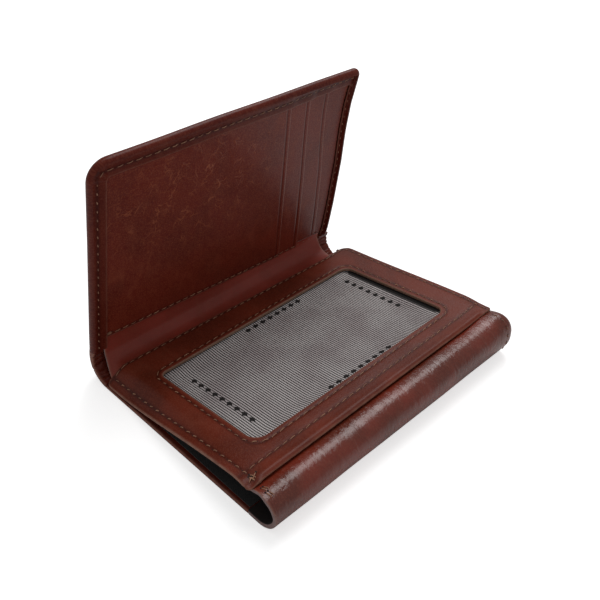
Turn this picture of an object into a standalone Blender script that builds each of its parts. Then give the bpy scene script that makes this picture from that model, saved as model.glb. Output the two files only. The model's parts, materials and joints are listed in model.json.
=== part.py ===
"""A leather card holder that folds like a book, standing open at rest.

The base lies on the table: a bottom hide, a sloping window panel over it and a rolled front edge,
with a note compartment between them that is open at the left end. The spine bends up from the
base's back edge, and the leaf with its three card pockets stands on the spine.

Sizes are millimetres and become metres where a mesh is made. X runs along the spine, -Y points to
the rolled front edge and Z points up. The origin is on the table, near the middle of the base.
Flat pieces are drawn in their own plane and parented to the empty that holds that plane.
"""

import math

import bmesh
import bpy
from mathutils import Matrix, Vector

MM = 0.001

# Overall sizes
LENGTH = 105.0  # along the spine
PANEL_DEPTH = 67.2  # window panel, back edge to slit
PANEL_BACK_Y = 34.0
PANEL_BACK_HEIGHT = 6.0  # panel's top face above the table, at its back edge
PANEL_RISE = 0.108  # rise of the panel towards the front, per millimetre of depth
PANEL_CROSS_RISE = 0.0088  # rise of the panel towards the right end
LEAF_HEIGHT = 69.0  # fold line to top edge
LEAF_REST_DEG = 100.0  # leaf's direction from +Y: it leans 10 degrees over the base

# Leather, cloth and gaps
HIDE = 0.9  # outer hide
PANEL_HIDE = 1.1
ROLL_HIDE = 1.0
HEM_PLY = 0.5  # outer hide, pared where it turns over the edge
POCKET_PLY = 0.24
STIFFENER_PLY = 0.25
LINING_PLY = 0.12
BASE_LINING_PLY = 0.2
MESH_PLY = 0.25
GUSSET_PLY = 0.6
PLY_GAP = 0.07  # between the leaf's plies
LAYER_GAP = 0.1  # between the base's plies
CARD_SPACE = 0.8  # room for a card under the window
SIDE_GAP = 0.3  # round a ply, and between pieces that meet end to end
THREAD = 0.36  # diameter
THREAD_GAP = 0.05  # under a thread

# Fold lines
FOLD_GAP = 0.8  # between two hides that meet at a fold line
SPINE_RADIUS = 8.1  # middle of the outer hide
GUSSET_SPACE = 2.5  # from the outer hide's middle in to the gusset's
GUSSET_START_DEG = 14.0
GUSSET_END_DEG = 80.0
GUSSET_INSET = 5.0  # from each end of the spine

# Rolled front edge, at mid length
ROLL_SEAM_BEHIND = 1.7  # where it meets the base cover, behind the slit
ROLL_BOTTOM_RADIUS = 6.7
ROLL_TOP_RADIUS = 4.5
ROLL_DIP = 0.66  # top of the roll, below the panel's top face at the slit
ROLL_FRONT_REACH = 9.0  # front of the roll, ahead of the slit
ROLL_TUCK_DEG = 15.0  # how steeply it dips under the panel
ROLL_TUCK_REACH = 4.7  # how far it runs behind the slit
ROLL_TAPER = 0.001  # growth towards the right end, per millimetre

# Window panel
WINDOW_LEFT_MARGIN = 11.5
WINDOW_RIGHT_MARGIN = 9.6
WINDOW_BACK_MARGIN = 12.8
WINDOW_FRONT_MARGIN = 11.0
WINDOW_CORNER = 5.0
PANEL_CORNER = 4.0
MESH_OVERLAP = 4.0  # cloth under the frame, all round the window
LINING_INSET = 2.5
STITCH_MARGIN = 3.2  # seam from an edge
SEAM_CORNER = 1.5  # turn of the panel's edge seam
SLIT_SEAM = 4.8  # seam behind the slit
WINDOW_SEAM = 1.8  # seam round the window
ROLL_SEAM_INSET = 2.6  # seam round the roll's right end
ROLL_SEAM_TOP_DEG = 100.0
ROLL_SEAM_BOTTOM_DEG = 235.0
RIGHT_WALL = 1.1  # hem of the base cover, turned up at the right end

# Leaf
LEAF_CORNER_LEFT = 6.5
LEAF_CORNER_RIGHT = 2.5
LEAF_EDGE_WALL = 0.8
LEAF_HEM_WIDTH = 5.2
POCKET_BOTTOM_SEAM = 1.0  # above the leaf's lower edge
FRONT_MOUTH_MARGIN = 25.5  # front pocket's mouth from the right end, at the leaf's lower edge
MOUTH_STEP = 9.4
MOUTH_SLANT = 7.0  # how far a mouth leans to the left over the pocket's height
FACING_WIDTH = 16.0  # leather strip behind each mouth; a cloth tail makes the rest

CORNER_STEPS = 6
ARC_STEP_DEG = 7.5
SHEET_COLUMNS = 6
CUT_PAST = 3.0  # how far a cutter runs past what it cuts

# Colours: sRGB-linear red, green, blue
MAROON = (0.105, 0.022, 0.014)
DARK_MAROON = (0.055, 0.013, 0.009)
THREAD_BROWN = (0.33, 0.16, 0.09)
CLOTH_GREY = (0.14, 0.13, 0.13)
CLOTH_BLACK = (0.02, 0.018, 0.018)
BOARD_BROWN = (0.30, 0.21, 0.13)

# Worked-out sizes
HALF = LENGTH / 2
PANEL_FRONT_Y = PANEL_BACK_Y - PANEL_DEPTH
WINDOW_DEPTH = PANEL_DEPTH - WINDOW_BACK_MARGIN - WINDOW_FRONT_MARGIN
BASE_FOLD_Y = PANEL_BACK_Y + SIDE_GAP
GUSSET_RADIUS = SPINE_RADIUS - GUSSET_SPACE
POCKET_STACK = STIFFENER_PLY + LINING_PLY + 4 * POCKET_PLY + 7 * PLY_GAP
LEAF_THICKNESS = HIDE + POCKET_STACK + HEM_PLY
LEAF_FOLD_Y = BASE_FOLD_Y + SPINE_RADIUS * math.sin(math.radians(LEAF_REST_DEG))
LEAF_FOLD_Z = HIDE / 2 + SPINE_RADIUS * (1 - math.cos(math.radians(LEAF_REST_DEG)))
ROLL_FRONT_Y = PANEL_FRONT_Y - ROLL_FRONT_REACH
ROLL_BACK_Y = PANEL_FRONT_Y + ROLL_SEAM_BEHIND
ROLL_HEIGHT = PANEL_BACK_HEIGHT + PANEL_RISE * PANEL_DEPTH - ROLL_DIP


def clear_scene():
    """Remove what the scene starts with."""
    for old in list(bpy.data.objects):
        bpy.data.objects.remove(old, do_unlink=True)


def new_collection(name, hidden=False):
    """A collection under the scene; hidden ones hold cutters."""
    collection = bpy.data.collections.new(name)
    bpy.context.scene.collection.children.link(collection)
    collection.hide_render = hidden
    return collection


def new_material(name, color, roughness):
    """A Principled material with one colour and one roughness."""
    material = bpy.data.materials.new(name)
    material.use_nodes = True
    shader = material.node_tree.nodes["Principled BSDF"]
    shader.inputs["Base Color"].default_value = (*color, 1.0)
    shader.inputs["Roughness"].default_value = roughness
    shader.inputs["Metallic"].default_value = 0.0
    return material


def new_empty(name, collection, matrix, parent=None):
    """An empty that holds a plane or a joint; matrix is in metres and in world space."""
    empty = bpy.data.objects.new(name, None)
    empty.empty_display_size = 5 * MM
    collection.objects.link(empty)
    empty.parent = parent
    bpy.context.view_layer.update()
    empty.matrix_world = matrix
    bpy.context.view_layer.update()
    return empty


def object_from(bm, name, collection, parent=None, material=None):
    """Turn a bmesh in millimetres into an object, in metres."""
    bmesh.ops.scale(bm, vec=(MM, MM, MM), verts=bm.verts)
    mesh = bpy.data.meshes.new(name)
    bm.to_mesh(mesh)
    bm.free()
    piece = bpy.data.objects.new(name, mesh)
    collection.objects.link(piece)
    piece.parent = parent
    if material:
        mesh.materials.append(material)
    return piece


def corner_arc(center, radius, start_deg, end_deg, steps=CORNER_STEPS):
    """Points along an arc, from one angle to the other."""
    points = []
    for step in range(steps + 1):
        angle = math.radians(start_deg + (end_deg - start_deg) * step / steps)
        points.append((center[0] + radius * math.cos(angle), center[1] + radius * math.sin(angle)))
    return points


def rounded_outline(left, right, low, high, radii):
    """A rectangle's outline, anticlockwise; radii are low left, low right, high right, high left."""
    corners = (
        (left, low, 1, 1, 180.0),
        (right, low, -1, 1, 270.0),
        (right, high, -1, -1, 0.0),
        (left, high, 1, -1, 90.0),
    )
    points = []
    for (x, y, side_x, side_y, start), radius in zip(corners, radii):
        if radius > 0:
            center = (x + side_x * radius, y + side_y * radius)
            points += corner_arc(center, radius, start, start + 90.0)
        else:
            points.append((x, y))
    return points


def face_bmesh(outline, height):
    """A bmesh with one flat face."""
    bm = bmesh.new()
    bm.faces.new([bm.verts.new((x, y, height)) for x, y in outline])
    return bm


def thicken(piece, thickness):
    """Give an open surface its thickness, on the side its faces point to."""
    solidify = piece.modifiers.new("Thickness", "SOLIDIFY")
    solidify.thickness = thickness * MM
    solidify.offset = 1.0
    solidify.use_even_offset = True


def flat_piece(name, collection, outline, low, thickness, parent=None, material=None):
    """A flat ply: an outline in its plane, from height low upwards."""
    piece = object_from(face_bmesh(outline, low), name, collection, parent, material)
    thicken(piece, thickness)
    return piece


def carve(piece, cutter, operation="DIFFERENCE"):
    """Cut a piece with a cutter, or join the two, and hide the other object."""
    boolean = piece.modifiers.new(cutter.name, "BOOLEAN")
    boolean.object = cutter
    boolean.operation = operation
    boolean.solver = "EXACT"
    cutter.display_type = "WIRE"
    cutter.hide_render = True


def bent_sheet(name, collection, path, ends, thickness, material, parent=None, growth=0.0):
    """A ply that follows a path in the YZ plane, from end to end in X.

    The thickness is added on the left of the path. growth makes the section taller towards
    the right end. The path is measured from the parent's origin.
    """
    bm = bmesh.new()
    bmesh.ops.create_grid(bm, x_segments=SHEET_COLUMNS, y_segments=len(path) - 1, size=0.5)
    left, right = ends
    for vert in bm.verts:
        x = left + (right - left) * (vert.co.x + 0.5)
        y, z = path[round((vert.co.y + 0.5) * (len(path) - 1))]
        vert.co = Vector((x, y, z * (1 + growth * x)))
    piece = object_from(bm, name, collection, parent, material)
    thicken(piece, thickness)
    return piece


def thread_run(name, collection, points, closed, material, parent=None):
    """A seam's thread, laid as one tube along the seam."""
    curve = bpy.data.curves.new(name, "CURVE")
    curve.dimensions = "3D"
    curve.bevel_depth = THREAD / 2 * MM
    curve.bevel_resolution = 1
    curve.use_fill_caps = True
    spline = curve.splines.new("POLY")
    spline.points.add(len(points) - 1)
    for point, place in zip(spline.points, points):
        point.co = (place[0] * MM, place[1] * MM, place[2] * MM, 1.0)
    spline.use_cyclic_u = closed
    curve.materials.append(material)
    piece = bpy.data.objects.new(name, curve)
    collection.objects.link(piece)
    piece.parent = parent
    return piece


def panel_plane():
    """The window panel's top face: origin at the middle of its back edge, Y running backwards."""
    across = Vector((1.0, 0.0, PANEL_CROSS_RISE)).normalized()
    back = Vector((0.0, 1.0, -PANEL_RISE))
    back = (back - back.dot(across) * across).normalized()
    normal = across.cross(back)
    turned = Matrix((across, back, normal)).transposed().to_4x4()
    place = Matrix.Translation((0.0, PANEL_BACK_Y * MM, PANEL_BACK_HEIGHT * MM))
    return place @ turned


def leaf_plane():
    """The leaf's plane: origin on the leaf fold, Y up the leaf, Z towards its inner face."""
    place = Matrix.Translation((0.0, LEAF_FOLD_Y * MM, LEAF_FOLD_Z * MM))
    return place @ Matrix.Rotation(math.radians(LEAF_REST_DEG), 4, "X")


def panel_slope_length(depth):
    """A depth along the table, measured along the sloping panel."""
    return depth * math.hypot(1.0, PANEL_RISE)


def window_outline(grow):
    """The window's outline in the panel's plane, grown by a margin."""
    back = -panel_slope_length(WINDOW_BACK_MARGIN)
    front = back - panel_slope_length(WINDOW_DEPTH)
    return rounded_outline(
        -HALF + WINDOW_LEFT_MARGIN - grow,
        HALF - WINDOW_RIGHT_MARGIN + grow,
        front - grow,
        back + grow,
        [WINDOW_CORNER + max(grow, 0.0)] * 4,
    )


def roll_centers():
    """Centres of the roll's lower and upper arcs, in YZ."""
    low = (ROLL_FRONT_Y + ROLL_BOTTOM_RADIUS, ROLL_BOTTOM_RADIUS)
    high = (ROLL_FRONT_Y + ROLL_TOP_RADIUS, ROLL_HEIGHT - ROLL_TOP_RADIUS)
    return low, high


def roll_section(offset):
    """The front roll's path in YZ, offset mm outside its inner face, from the seam at the bottom
    round the front to the tuck under the panel."""
    low_center, high_center = roll_centers()
    low_radius = ROLL_BOTTOM_RADIUS - ROLL_HIDE + offset
    high_radius = ROLL_TOP_RADIUS - ROLL_HIDE + offset
    top_deg = 90.0 - ROLL_TUCK_DEG
    path = [(ROLL_BACK_Y, ROLL_HIDE - offset)]
    path += corner_arc(low_center, low_radius, 270.0, 180.0, round(90.0 / ARC_STEP_DEG))
    top_steps = round((180.0 - top_deg) / ARC_STEP_DEG)
    path += corner_arc(high_center, high_radius, 180.0, top_deg, top_steps)
    tangent = (math.sin(math.radians(top_deg)), -math.cos(math.radians(top_deg)))
    reach = PANEL_FRONT_Y + ROLL_TUCK_REACH - high_center[0]
    run = (reach - ROLL_TOP_RADIUS * math.cos(math.radians(top_deg))) / tangent[0]
    last = path[-1]
    path.append((last[0] + run * tangent[0], last[1] + run * tangent[1]))
    return path


def panel_height(y):
    """Height of the panel's top face at the right end."""
    return PANEL_BACK_HEIGHT + PANEL_RISE * (PANEL_BACK_Y - y) + PANEL_CROSS_RISE * HALF


def build_base_cover(collection, cutters, material):
    """Bottom hide, with its right edge turned up as the wall that closes the compartment."""
    right = HALF + SIDE_GAP + RIGHT_WALL
    outline = rounded_outline(
        -HALF, right, ROLL_BACK_Y + SIDE_GAP, BASE_FOLD_Y - FOLD_GAP / 2, [0.0] * 4
    )
    cover = flat_piece("base_cover", collection, outline, 0.0, HIDE, None, material)
    growth = 1 + ROLL_TAPER * HALF
    front = [(y, z * growth) for y, z in roll_section(ROLL_HIDE)[:-2] if y < PANEL_FRONT_Y]
    back_y = BASE_FOLD_Y - FOLD_GAP
    section = [(back_y, 0.0)]
    section += [(y, panel_height(y)) for y in (back_y, PANEL_FRONT_Y)]
    section += reversed(front)
    bm = bmesh.new()
    bm.faces.new([bm.verts.new((right - RIGHT_WALL, y, z)) for y, z in section])
    bmesh.ops.recalc_face_normals(bm, faces=bm.faces)
    for face in bm.faces:
        if face.normal.x < 0:
            face.normal_flip()
    wall = object_from(bm, "right_wall_join", cutters)
    thicken(wall, RIGHT_WALL)
    carve(cover, wall, "UNION")
    return cover


def build_base_lining(collection, material):
    """Cloth on the bottom hide, inside the note compartment."""
    outline = rounded_outline(
        -HALF + SIDE_GAP, HALF, ROLL_BACK_Y + 2 * SIDE_GAP, BASE_FOLD_Y - 2 * FOLD_GAP, [1.0] * 4
    )
    return flat_piece(
        "base_lining", collection, outline, HIDE + LAYER_GAP, BASE_LINING_PLY, None, material
    )


def build_front_roll(collection, material):
    """Hide that rolls round the front edge, from the seam below to the tuck under the panel."""
    path = roll_section(0.0)
    ends = (-HALF, HALF)
    return bent_sheet(
        "front_roll", collection, path, ends, ROLL_HIDE, material, growth=ROLL_TAPER
    )


def build_window_frame(collection, cutters, plane, material):
    """Sloping top panel with its window cut out."""
    front = -panel_slope_length(PANEL_DEPTH)
    outline = rounded_outline(-HALF, HALF, front, 0.0, [0.0, 0.0, PANEL_CORNER, PANEL_CORNER])
    frame = flat_piece("window_frame", collection, outline, -PANEL_HIDE, PANEL_HIDE, plane, material)
    cutter = flat_piece(
        "window_cut",
        cutters,
        window_outline(0.0),
        -PANEL_HIDE - CUT_PAST,
        PANEL_HIDE + 2 * CUT_PAST,
        plane,
    )
    carve(frame, cutter)
    return frame


def build_window_mesh(collection, plane, material):
    """Open-weave cloth sewn under the window."""
    low = -PANEL_HIDE - LAYER_GAP - MESH_PLY
    return flat_piece(
        "window_mesh", collection, window_outline(MESH_OVERLAP), low, MESH_PLY, plane, material
    )


def build_id_pocket_lining(collection, plane, material):
    """Cloth below the card space: back of the window pocket and roof of the note compartment."""
    low = -PANEL_HIDE - LAYER_GAP - MESH_PLY - CARD_SPACE - BASE_LINING_PLY
    front = -panel_slope_length(PANEL_DEPTH - ROLL_TUCK_REACH - SIDE_GAP)
    outline = rounded_outline(
        -HALF + LINING_INSET, HALF - LINING_INSET, front, -LINING_INSET, [1.0] * 4
    )
    return flat_piece("id_pocket_lining", collection, outline, low, BASE_LINING_PLY, plane, material)


def build_panel_threads(collection, plane, material):
    """Seams of the panel: its edges, the line behind the slit and the ring round the window."""
    height = THREAD_GAP + THREAD / 2
    front = -panel_slope_length(PANEL_DEPTH)
    side = HALF - STITCH_MARGIN
    back = -STITCH_MARGIN
    slit = front + SLIT_SEAM
    turn = SEAM_CORNER
    edge = [(-side, front + THREAD)]
    edge += corner_arc((-side + turn, back - turn), turn, 180.0, 90.0)
    edge += corner_arc((side - turn, back - turn), turn, 90.0, 0.0)
    edge += [(side, front + THREAD)]
    run = [(x, y, height) for x, y in edge]
    thread_run("panel_edge_thread", collection, run, False, material, plane)
    ends = (-side + 2 * THREAD, side - 2 * THREAD)
    thread_run("slit_thread", collection, [(x, slit, height) for x in ends], False, material, plane)
    ring = [(x, y, height) for x, y in window_outline(WINDOW_SEAM)]
    thread_run("window_thread", collection, ring, True, material, plane)


def build_roll_thread(collection, material):
    """Seam round the roll's right end."""
    x = HALF - ROLL_SEAM_INSET
    growth = 1 + ROLL_TAPER * x
    stand_off = THREAD_GAP + THREAD / 2
    low_center, high_center = roll_centers()
    path = corner_arc(high_center, ROLL_TOP_RADIUS + stand_off, ROLL_SEAM_TOP_DEG, 180.0, 10)
    path += corner_arc(low_center, ROLL_BOTTOM_RADIUS + stand_off, 180.0, ROLL_SEAM_BOTTOM_DEG, 8)
    points = [(x, y, z * growth) for y, z in path]
    thread_run("roll_end_thread", collection, points, False, material)


def arc_path(radius, start_deg, end_deg):
    """Arc round the spine's centre, measured from the spine fold; angle 0 points down."""
    center = (0.0, SPINE_RADIUS)
    steps = max(4, round((end_deg - start_deg) / ARC_STEP_DEG))
    return corner_arc(center, radius, start_deg - 90.0, end_deg - 90.0, steps)


def build_spine(collection, fold, hide, gusset):
    """Outer hide round the back, and the gusset strip inside it."""
    gap_deg = math.degrees(FOLD_GAP / 2 / SPINE_RADIUS)
    path = arc_path(SPINE_RADIUS + HIDE / 2, gap_deg, LEAF_REST_DEG - gap_deg)
    bent_sheet("spine_cover", collection, path, (-HALF, HALF), HIDE, hide, fold)
    path = arc_path(GUSSET_RADIUS + GUSSET_PLY / 2, GUSSET_START_DEG, GUSSET_END_DEG)
    ends = (-HALF + GUSSET_INSET, HALF - GUSSET_INSET)
    bent_sheet("spine_gusset", collection, path, ends, GUSSET_PLY, gusset, fold)


def leaf_outline(inset, low):
    """The leaf's outline in its plane, inset from the left, top and right edges."""
    return rounded_outline(
        -HALF + inset,
        HALF - inset,
        low,
        LEAF_HEIGHT - inset,
        [0.0, 0.0, max(LEAF_CORNER_RIGHT - inset, 0.3), max(LEAF_CORNER_LEFT - inset, 0.3)],
    )


def build_leaf_cover(collection, cutters, plane, material):
    """Outer hide of the leaf with its hem turned over the left, top and right edges."""
    outer = -HIDE / 2
    bottom = FOLD_GAP / 2
    cover = flat_piece(
        "leaf_cover", collection, leaf_outline(0.0, bottom), outer, LEAF_THICKNESS, plane, material
    )
    cavity = flat_piece(
        "leaf_cavity",
        cutters,
        leaf_outline(LEAF_EDGE_WALL, bottom - CUT_PAST),
        outer + HIDE,
        POCKET_STACK,
        plane,
    )
    carve(cover, cavity)
    opening = flat_piece(
        "leaf_hem_opening",
        cutters,
        leaf_outline(LEAF_HEM_WIDTH, bottom - CUT_PAST),
        outer + HIDE + POCKET_STACK / 2,
        POCKET_STACK / 2 + HEM_PLY + CUT_PAST,
        plane,
    )
    carve(cover, opening)
    return cover


def ply_heights():
    """Lower face of each ply of the leaf, from the stiffener to the front pocket."""
    names = ("stiffener", "lining", "backing", "rear", "middle", "front")
    plies = (STIFFENER_PLY, LINING_PLY) + (POCKET_PLY,) * 4
    heights = {}
    height = HIDE / 2 + PLY_GAP
    for name, ply in zip(names, plies):
        heights[name] = height
        height += ply + PLY_GAP
    return heights


def mouth_x(step, y):
    """Place of a pocket's mouth at a height up the leaf; step 0 is the front pocket."""
    return HALF - FRONT_MOUTH_MARGIN + step * MOUTH_STEP - MOUTH_SLANT * y / LEAF_HEIGHT


def strip_outline(left_step, left_shift, right_step, right_shift, low, high):
    """A strip between two slanted mouths, or from the leaf's left edge when left_step is None."""
    inset = LEAF_EDGE_WALL + SIDE_GAP
    right_low = mouth_x(right_step, low) + right_shift
    right_high = mouth_x(right_step, high) + right_shift
    if left_step is None:
        center = (-HALF + LEAF_CORNER_LEFT, high + inset - LEAF_CORNER_LEFT)
        radius = LEAF_CORNER_LEFT - inset
        left = corner_arc(center, radius, 90.0, 180.0)
        left.append((-HALF + inset, low))
    else:
        left = [
            (mouth_x(left_step, high) + left_shift, high),
            (mouth_x(left_step, low) + left_shift, low),
        ]
    return left + [(right_low, low), (right_high, high)]


def build_leaf_plies(collection, plane, materials):
    """Stiffener, lining, backing and three stepped pockets, stacked inside the leaf cover."""
    heights = ply_heights()
    inset = LEAF_EDGE_WALL + SIDE_GAP
    low = FOLD_GAP / 2
    high = LEAF_HEIGHT - inset
    leather, lining = materials["leather"], materials["lining"]

    def ply(name, outline, level, thickness, material):
        flat_piece(name, collection, outline, heights[level], thickness, plane, material)

    full = leaf_outline(inset, low)
    ply("leaf_stiffener", full, "stiffener", STIFFENER_PLY, materials["board"])
    ply("leaf_lining", full, "lining", LINING_PLY, lining)
    ply("pocket_backing", full, "backing", POCKET_PLY, leather)
    for level, step in (("rear", 2), ("middle", 1)):
        facing = strip_outline(step, -FACING_WIDTH, step, 0.0, low, high)
        tail = strip_outline(None, 0.0, step, -FACING_WIDTH - SIDE_GAP, low, high)
        ply(f"card_pocket_{level}", facing, level, POCKET_PLY, leather)
        ply(f"{level}_pocket_tail", tail, level, POCKET_PLY, lining)
    front = strip_outline(None, 0.0, 0, 0.0, low, high)
    ply("card_pocket_front", front, "front", POCKET_PLY, leather)


def build_leaf_threads(collection, plane, material):
    """The seam round the leaf's hem, and the seam along the pockets' lower edge."""
    height = LEAF_THICKNESS - HIDE / 2 + THREAD_GAP + THREAD / 2
    edge = leaf_outline(STITCH_MARGIN, 2 * POCKET_BOTTOM_SEAM)
    start = next(i for i, (x, y) in enumerate(edge) if x > 0)
    run = [(x, y, height) for x, y in edge[start:] + edge[:start]]
    thread_run("leaf_edge_thread", collection, run, False, material, plane)
    low = FOLD_GAP / 2 + POCKET_BOTTOM_SEAM
    top_ply = ply_heights()["front"] + POCKET_PLY + THREAD_GAP + THREAD / 2
    end = HALF - LEAF_HEM_WIDTH - SIDE_GAP
    run = [(x, low, top_ply) for x in (-end, end)]
    thread_run("pocket_thread", collection, run, False, material, plane)


def main():
    clear_scene()
    parts = new_collection("card_holder")
    cutters = new_collection("cutters", hidden=True)
    leather = new_material("outer_leather", MAROON, 0.32)
    inner = new_material("pocket_leather", DARK_MAROON, 0.38)
    thread = new_material("thread", THREAD_BROWN, 0.7)
    cloth = new_material("window_cloth", CLOTH_GREY, 0.6)
    lining = new_material("lining_cloth", CLOTH_BLACK, 0.85)
    board = new_material("stiffener_board", BOARD_BROWN, 0.8)

    spine_axis = Matrix.Translation((0.0, BASE_FOLD_Y * MM, HIDE / 2 * MM))
    spine = new_empty("spine_fold", parts, spine_axis)
    leaf = new_empty("leaf_fold", parts, leaf_plane(), spine)
    panel = new_empty("panel_plane", parts, panel_plane())

    build_base_cover(parts, cutters, leather)
    build_base_lining(parts, lining)
    build_front_roll(parts, leather)
    build_window_frame(parts, cutters, panel, leather)
    build_window_mesh(parts, panel, cloth)
    build_id_pocket_lining(parts, panel, cloth)
    build_panel_threads(parts, panel, thread)
    build_roll_thread(parts, thread)
    build_spine(parts, spine, leather, inner)
    build_leaf_cover(parts, cutters, leaf, leather)
    build_leaf_plies(parts, leaf, {"leather": inner, "lining": lining, "board": board})
    build_leaf_threads(parts, leaf, thread)


if __name__ == "__main__":
    main()
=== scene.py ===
"""The look of a leather card holder that stands half open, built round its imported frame.

Every size is in millimetres until a mesh is written, in metres. X runs along the spine, -Y points
to the rolled front edge and Z points up.
"""

import json
import logging
import math
from dataclasses import dataclass, field
from enum import Enum
from typing import Callable, Optional, Sequence

import bmesh
import bpy
import numpy as np
from mathutils import Matrix, Vector


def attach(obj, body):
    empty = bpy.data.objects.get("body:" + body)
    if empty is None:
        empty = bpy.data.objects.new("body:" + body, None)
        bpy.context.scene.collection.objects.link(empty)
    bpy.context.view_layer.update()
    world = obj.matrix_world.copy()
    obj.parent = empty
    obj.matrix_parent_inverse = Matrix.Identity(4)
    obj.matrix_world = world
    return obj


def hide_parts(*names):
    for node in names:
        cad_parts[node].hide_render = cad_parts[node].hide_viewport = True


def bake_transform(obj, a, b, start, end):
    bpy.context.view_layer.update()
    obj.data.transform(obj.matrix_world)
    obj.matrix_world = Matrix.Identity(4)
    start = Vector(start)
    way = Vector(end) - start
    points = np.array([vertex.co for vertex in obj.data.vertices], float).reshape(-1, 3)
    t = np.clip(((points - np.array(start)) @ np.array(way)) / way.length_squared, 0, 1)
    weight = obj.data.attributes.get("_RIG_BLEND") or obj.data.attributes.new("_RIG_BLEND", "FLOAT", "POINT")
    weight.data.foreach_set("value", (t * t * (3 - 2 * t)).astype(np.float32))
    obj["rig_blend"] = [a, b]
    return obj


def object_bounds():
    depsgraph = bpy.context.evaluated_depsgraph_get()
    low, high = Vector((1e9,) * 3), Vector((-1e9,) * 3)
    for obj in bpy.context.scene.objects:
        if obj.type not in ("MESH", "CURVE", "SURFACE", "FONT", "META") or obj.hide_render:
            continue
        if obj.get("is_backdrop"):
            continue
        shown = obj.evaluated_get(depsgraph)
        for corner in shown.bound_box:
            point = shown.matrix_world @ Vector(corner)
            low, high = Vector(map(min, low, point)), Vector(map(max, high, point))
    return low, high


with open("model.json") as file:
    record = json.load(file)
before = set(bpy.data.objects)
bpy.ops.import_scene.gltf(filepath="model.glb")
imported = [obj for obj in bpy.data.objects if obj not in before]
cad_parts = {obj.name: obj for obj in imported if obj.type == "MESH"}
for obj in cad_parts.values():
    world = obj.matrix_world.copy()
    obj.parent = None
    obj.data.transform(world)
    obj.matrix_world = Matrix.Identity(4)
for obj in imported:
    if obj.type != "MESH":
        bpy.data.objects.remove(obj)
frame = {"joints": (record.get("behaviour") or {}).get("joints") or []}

MM = 0.001
SEED = 11
LENGTH_SPREAD = (0.93, 1.05)
RADIUS_SPREAD = (0.92, 1.08)
SLANT_SPREAD = (-3.0, 3.0)

LOG = logging.getLogger("card_holder")

Array = np.ndarray
Thing = bpy.types.Object
Field = Callable[[Array, Array], Array]


class Body(Enum):
    """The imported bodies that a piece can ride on."""

    BASE = "base"
    SPINE = "spine"
    LEAF = "leaf"


class Slot(Enum):
    """The record's material slots."""

    OUTER = "outer_leather"
    POCKET = "pocket_leather"
    THREAD = "thread"
    WINDOW = "window_cloth"
    LINING = "lining_cloth"
    BOARD = "stiffener_board"


class Side(Enum):
    """Which side of a net its wall is added on."""

    UNDER = -1.0
    MIDDLE = 0.0
    OVER = 1.0


# --- Small helpers ---


def ease(value: Array) -> Array:
    """A smooth step from 0 to 1 as value goes from 0 to 1."""
    value = np.clip(value, 0.0, 1.0)
    return value * value * (3.0 - 2.0 * value)


def bell(value: Array, width: float) -> Array:
    """A smooth bump of height 1 round 0."""
    return np.exp(-((value / width) ** 2))


def spaced(start: float, stop: float, step: float) -> Array:
    """Evenly spaced numbers, with both ends in and about step between them."""
    return np.linspace(start, stop, max(2, int(round(abs(stop - start) / step)) + 1))


def joined(*runs: Array) -> Array:
    """One run of numbers from several, with the shared ends kept once."""
    numbers = np.concatenate(runs)
    keep = np.ones(len(numbers), bool)
    keep[1:] = np.abs(np.diff(numbers)) > 1e-6
    return numbers[keep]


def deselect_all() -> None:
    """Leave object mode with nothing selected."""
    if bpy.context.mode != "OBJECT":
        bpy.ops.object.mode_set(mode="OBJECT")
    bpy.ops.object.select_all(action="DESELECT")


def take(piece: Thing) -> None:
    """Make a piece the only selected one, and active."""
    deselect_all()
    piece.select_set(True)
    bpy.context.view_layer.objects.active = piece


def read_points(mesh: bpy.types.Mesh) -> Array:
    """All vertex places of a mesh, one row each."""
    places = np.empty(len(mesh.vertices) * 3)
    mesh.vertices.foreach_get("co", places)
    return places.reshape(-1, 3)


def write_points(mesh: bpy.types.Mesh, places: Array) -> None:
    """Move all vertices of a mesh."""
    mesh.vertices.foreach_set("co", np.ascontiguousarray(places, dtype=np.float32).ravel())
    mesh.update()


class Polyline:
    """A line through many points, read by its own length."""

    def __init__(self, points: Sequence[Sequence[float]]) -> None:
        """Measure the line.

        Args:
            points: the points, in order, each two or three numbers.
        """
        self.points = np.array(points, float)
        steps = np.linalg.norm(np.diff(self.points, axis=0), axis=1)
        self.marks = np.concatenate([[0.0], np.cumsum(steps)])
        self.length = float(self.marks[-1])

    def at(self, along: Array) -> Array:
        """Points at these lengths along the line."""
        columns = [np.interp(along, self.marks, axis) for axis in self.points.T]
        return np.stack(columns, axis=-1)

    def heading(self, along: Array, reach: float = 0.25) -> Array:
        """Unit directions of the line at these lengths."""
        ahead = self.at(np.clip(along + reach, 0.0, self.length))
        behind = self.at(np.clip(along - reach, 0.0, self.length))
        step = ahead - behind
        return step / np.maximum(np.linalg.norm(step, axis=-1, keepdims=True), 1e-9)


def smooth_line(knots: Sequence[Sequence[float]], step: int = 12) -> Polyline:
    """A Catmull-Rom line through a few knots.

    Args:
        knots: the points that the line passes through.
        step: how many pieces each span is cut into.

    Returns:
        The line, closely sampled.
    """
    points = np.array(knots, float)
    padded = np.vstack([2 * points[0] - points[1], points, 2 * points[-1] - points[-2]])
    found = []
    for a, b, c, d in zip(padded, padded[1:], padded[2:], padded[3:]):
        bend, twist = 2 * a - 5 * b + 4 * c - d, 3 * b - a - 3 * c + d
        for t in (k / step for k in range(step)):
            found.append(0.5 * (2 * b + (c - a) * t + bend * t**2 + twist * t**3))
    return Polyline(found + [points[-1]])


def arc(center: Sequence[float], radius: float, start: float, end: float, steps: int) -> list:
    """Points on an arc; angles are in degrees."""
    angles = np.radians(np.linspace(start, end, steps + 1))
    return [(center[0] + radius * math.cos(a), center[1] + radius * math.sin(a)) for a in angles]


# --- Shader nodes ---


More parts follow.
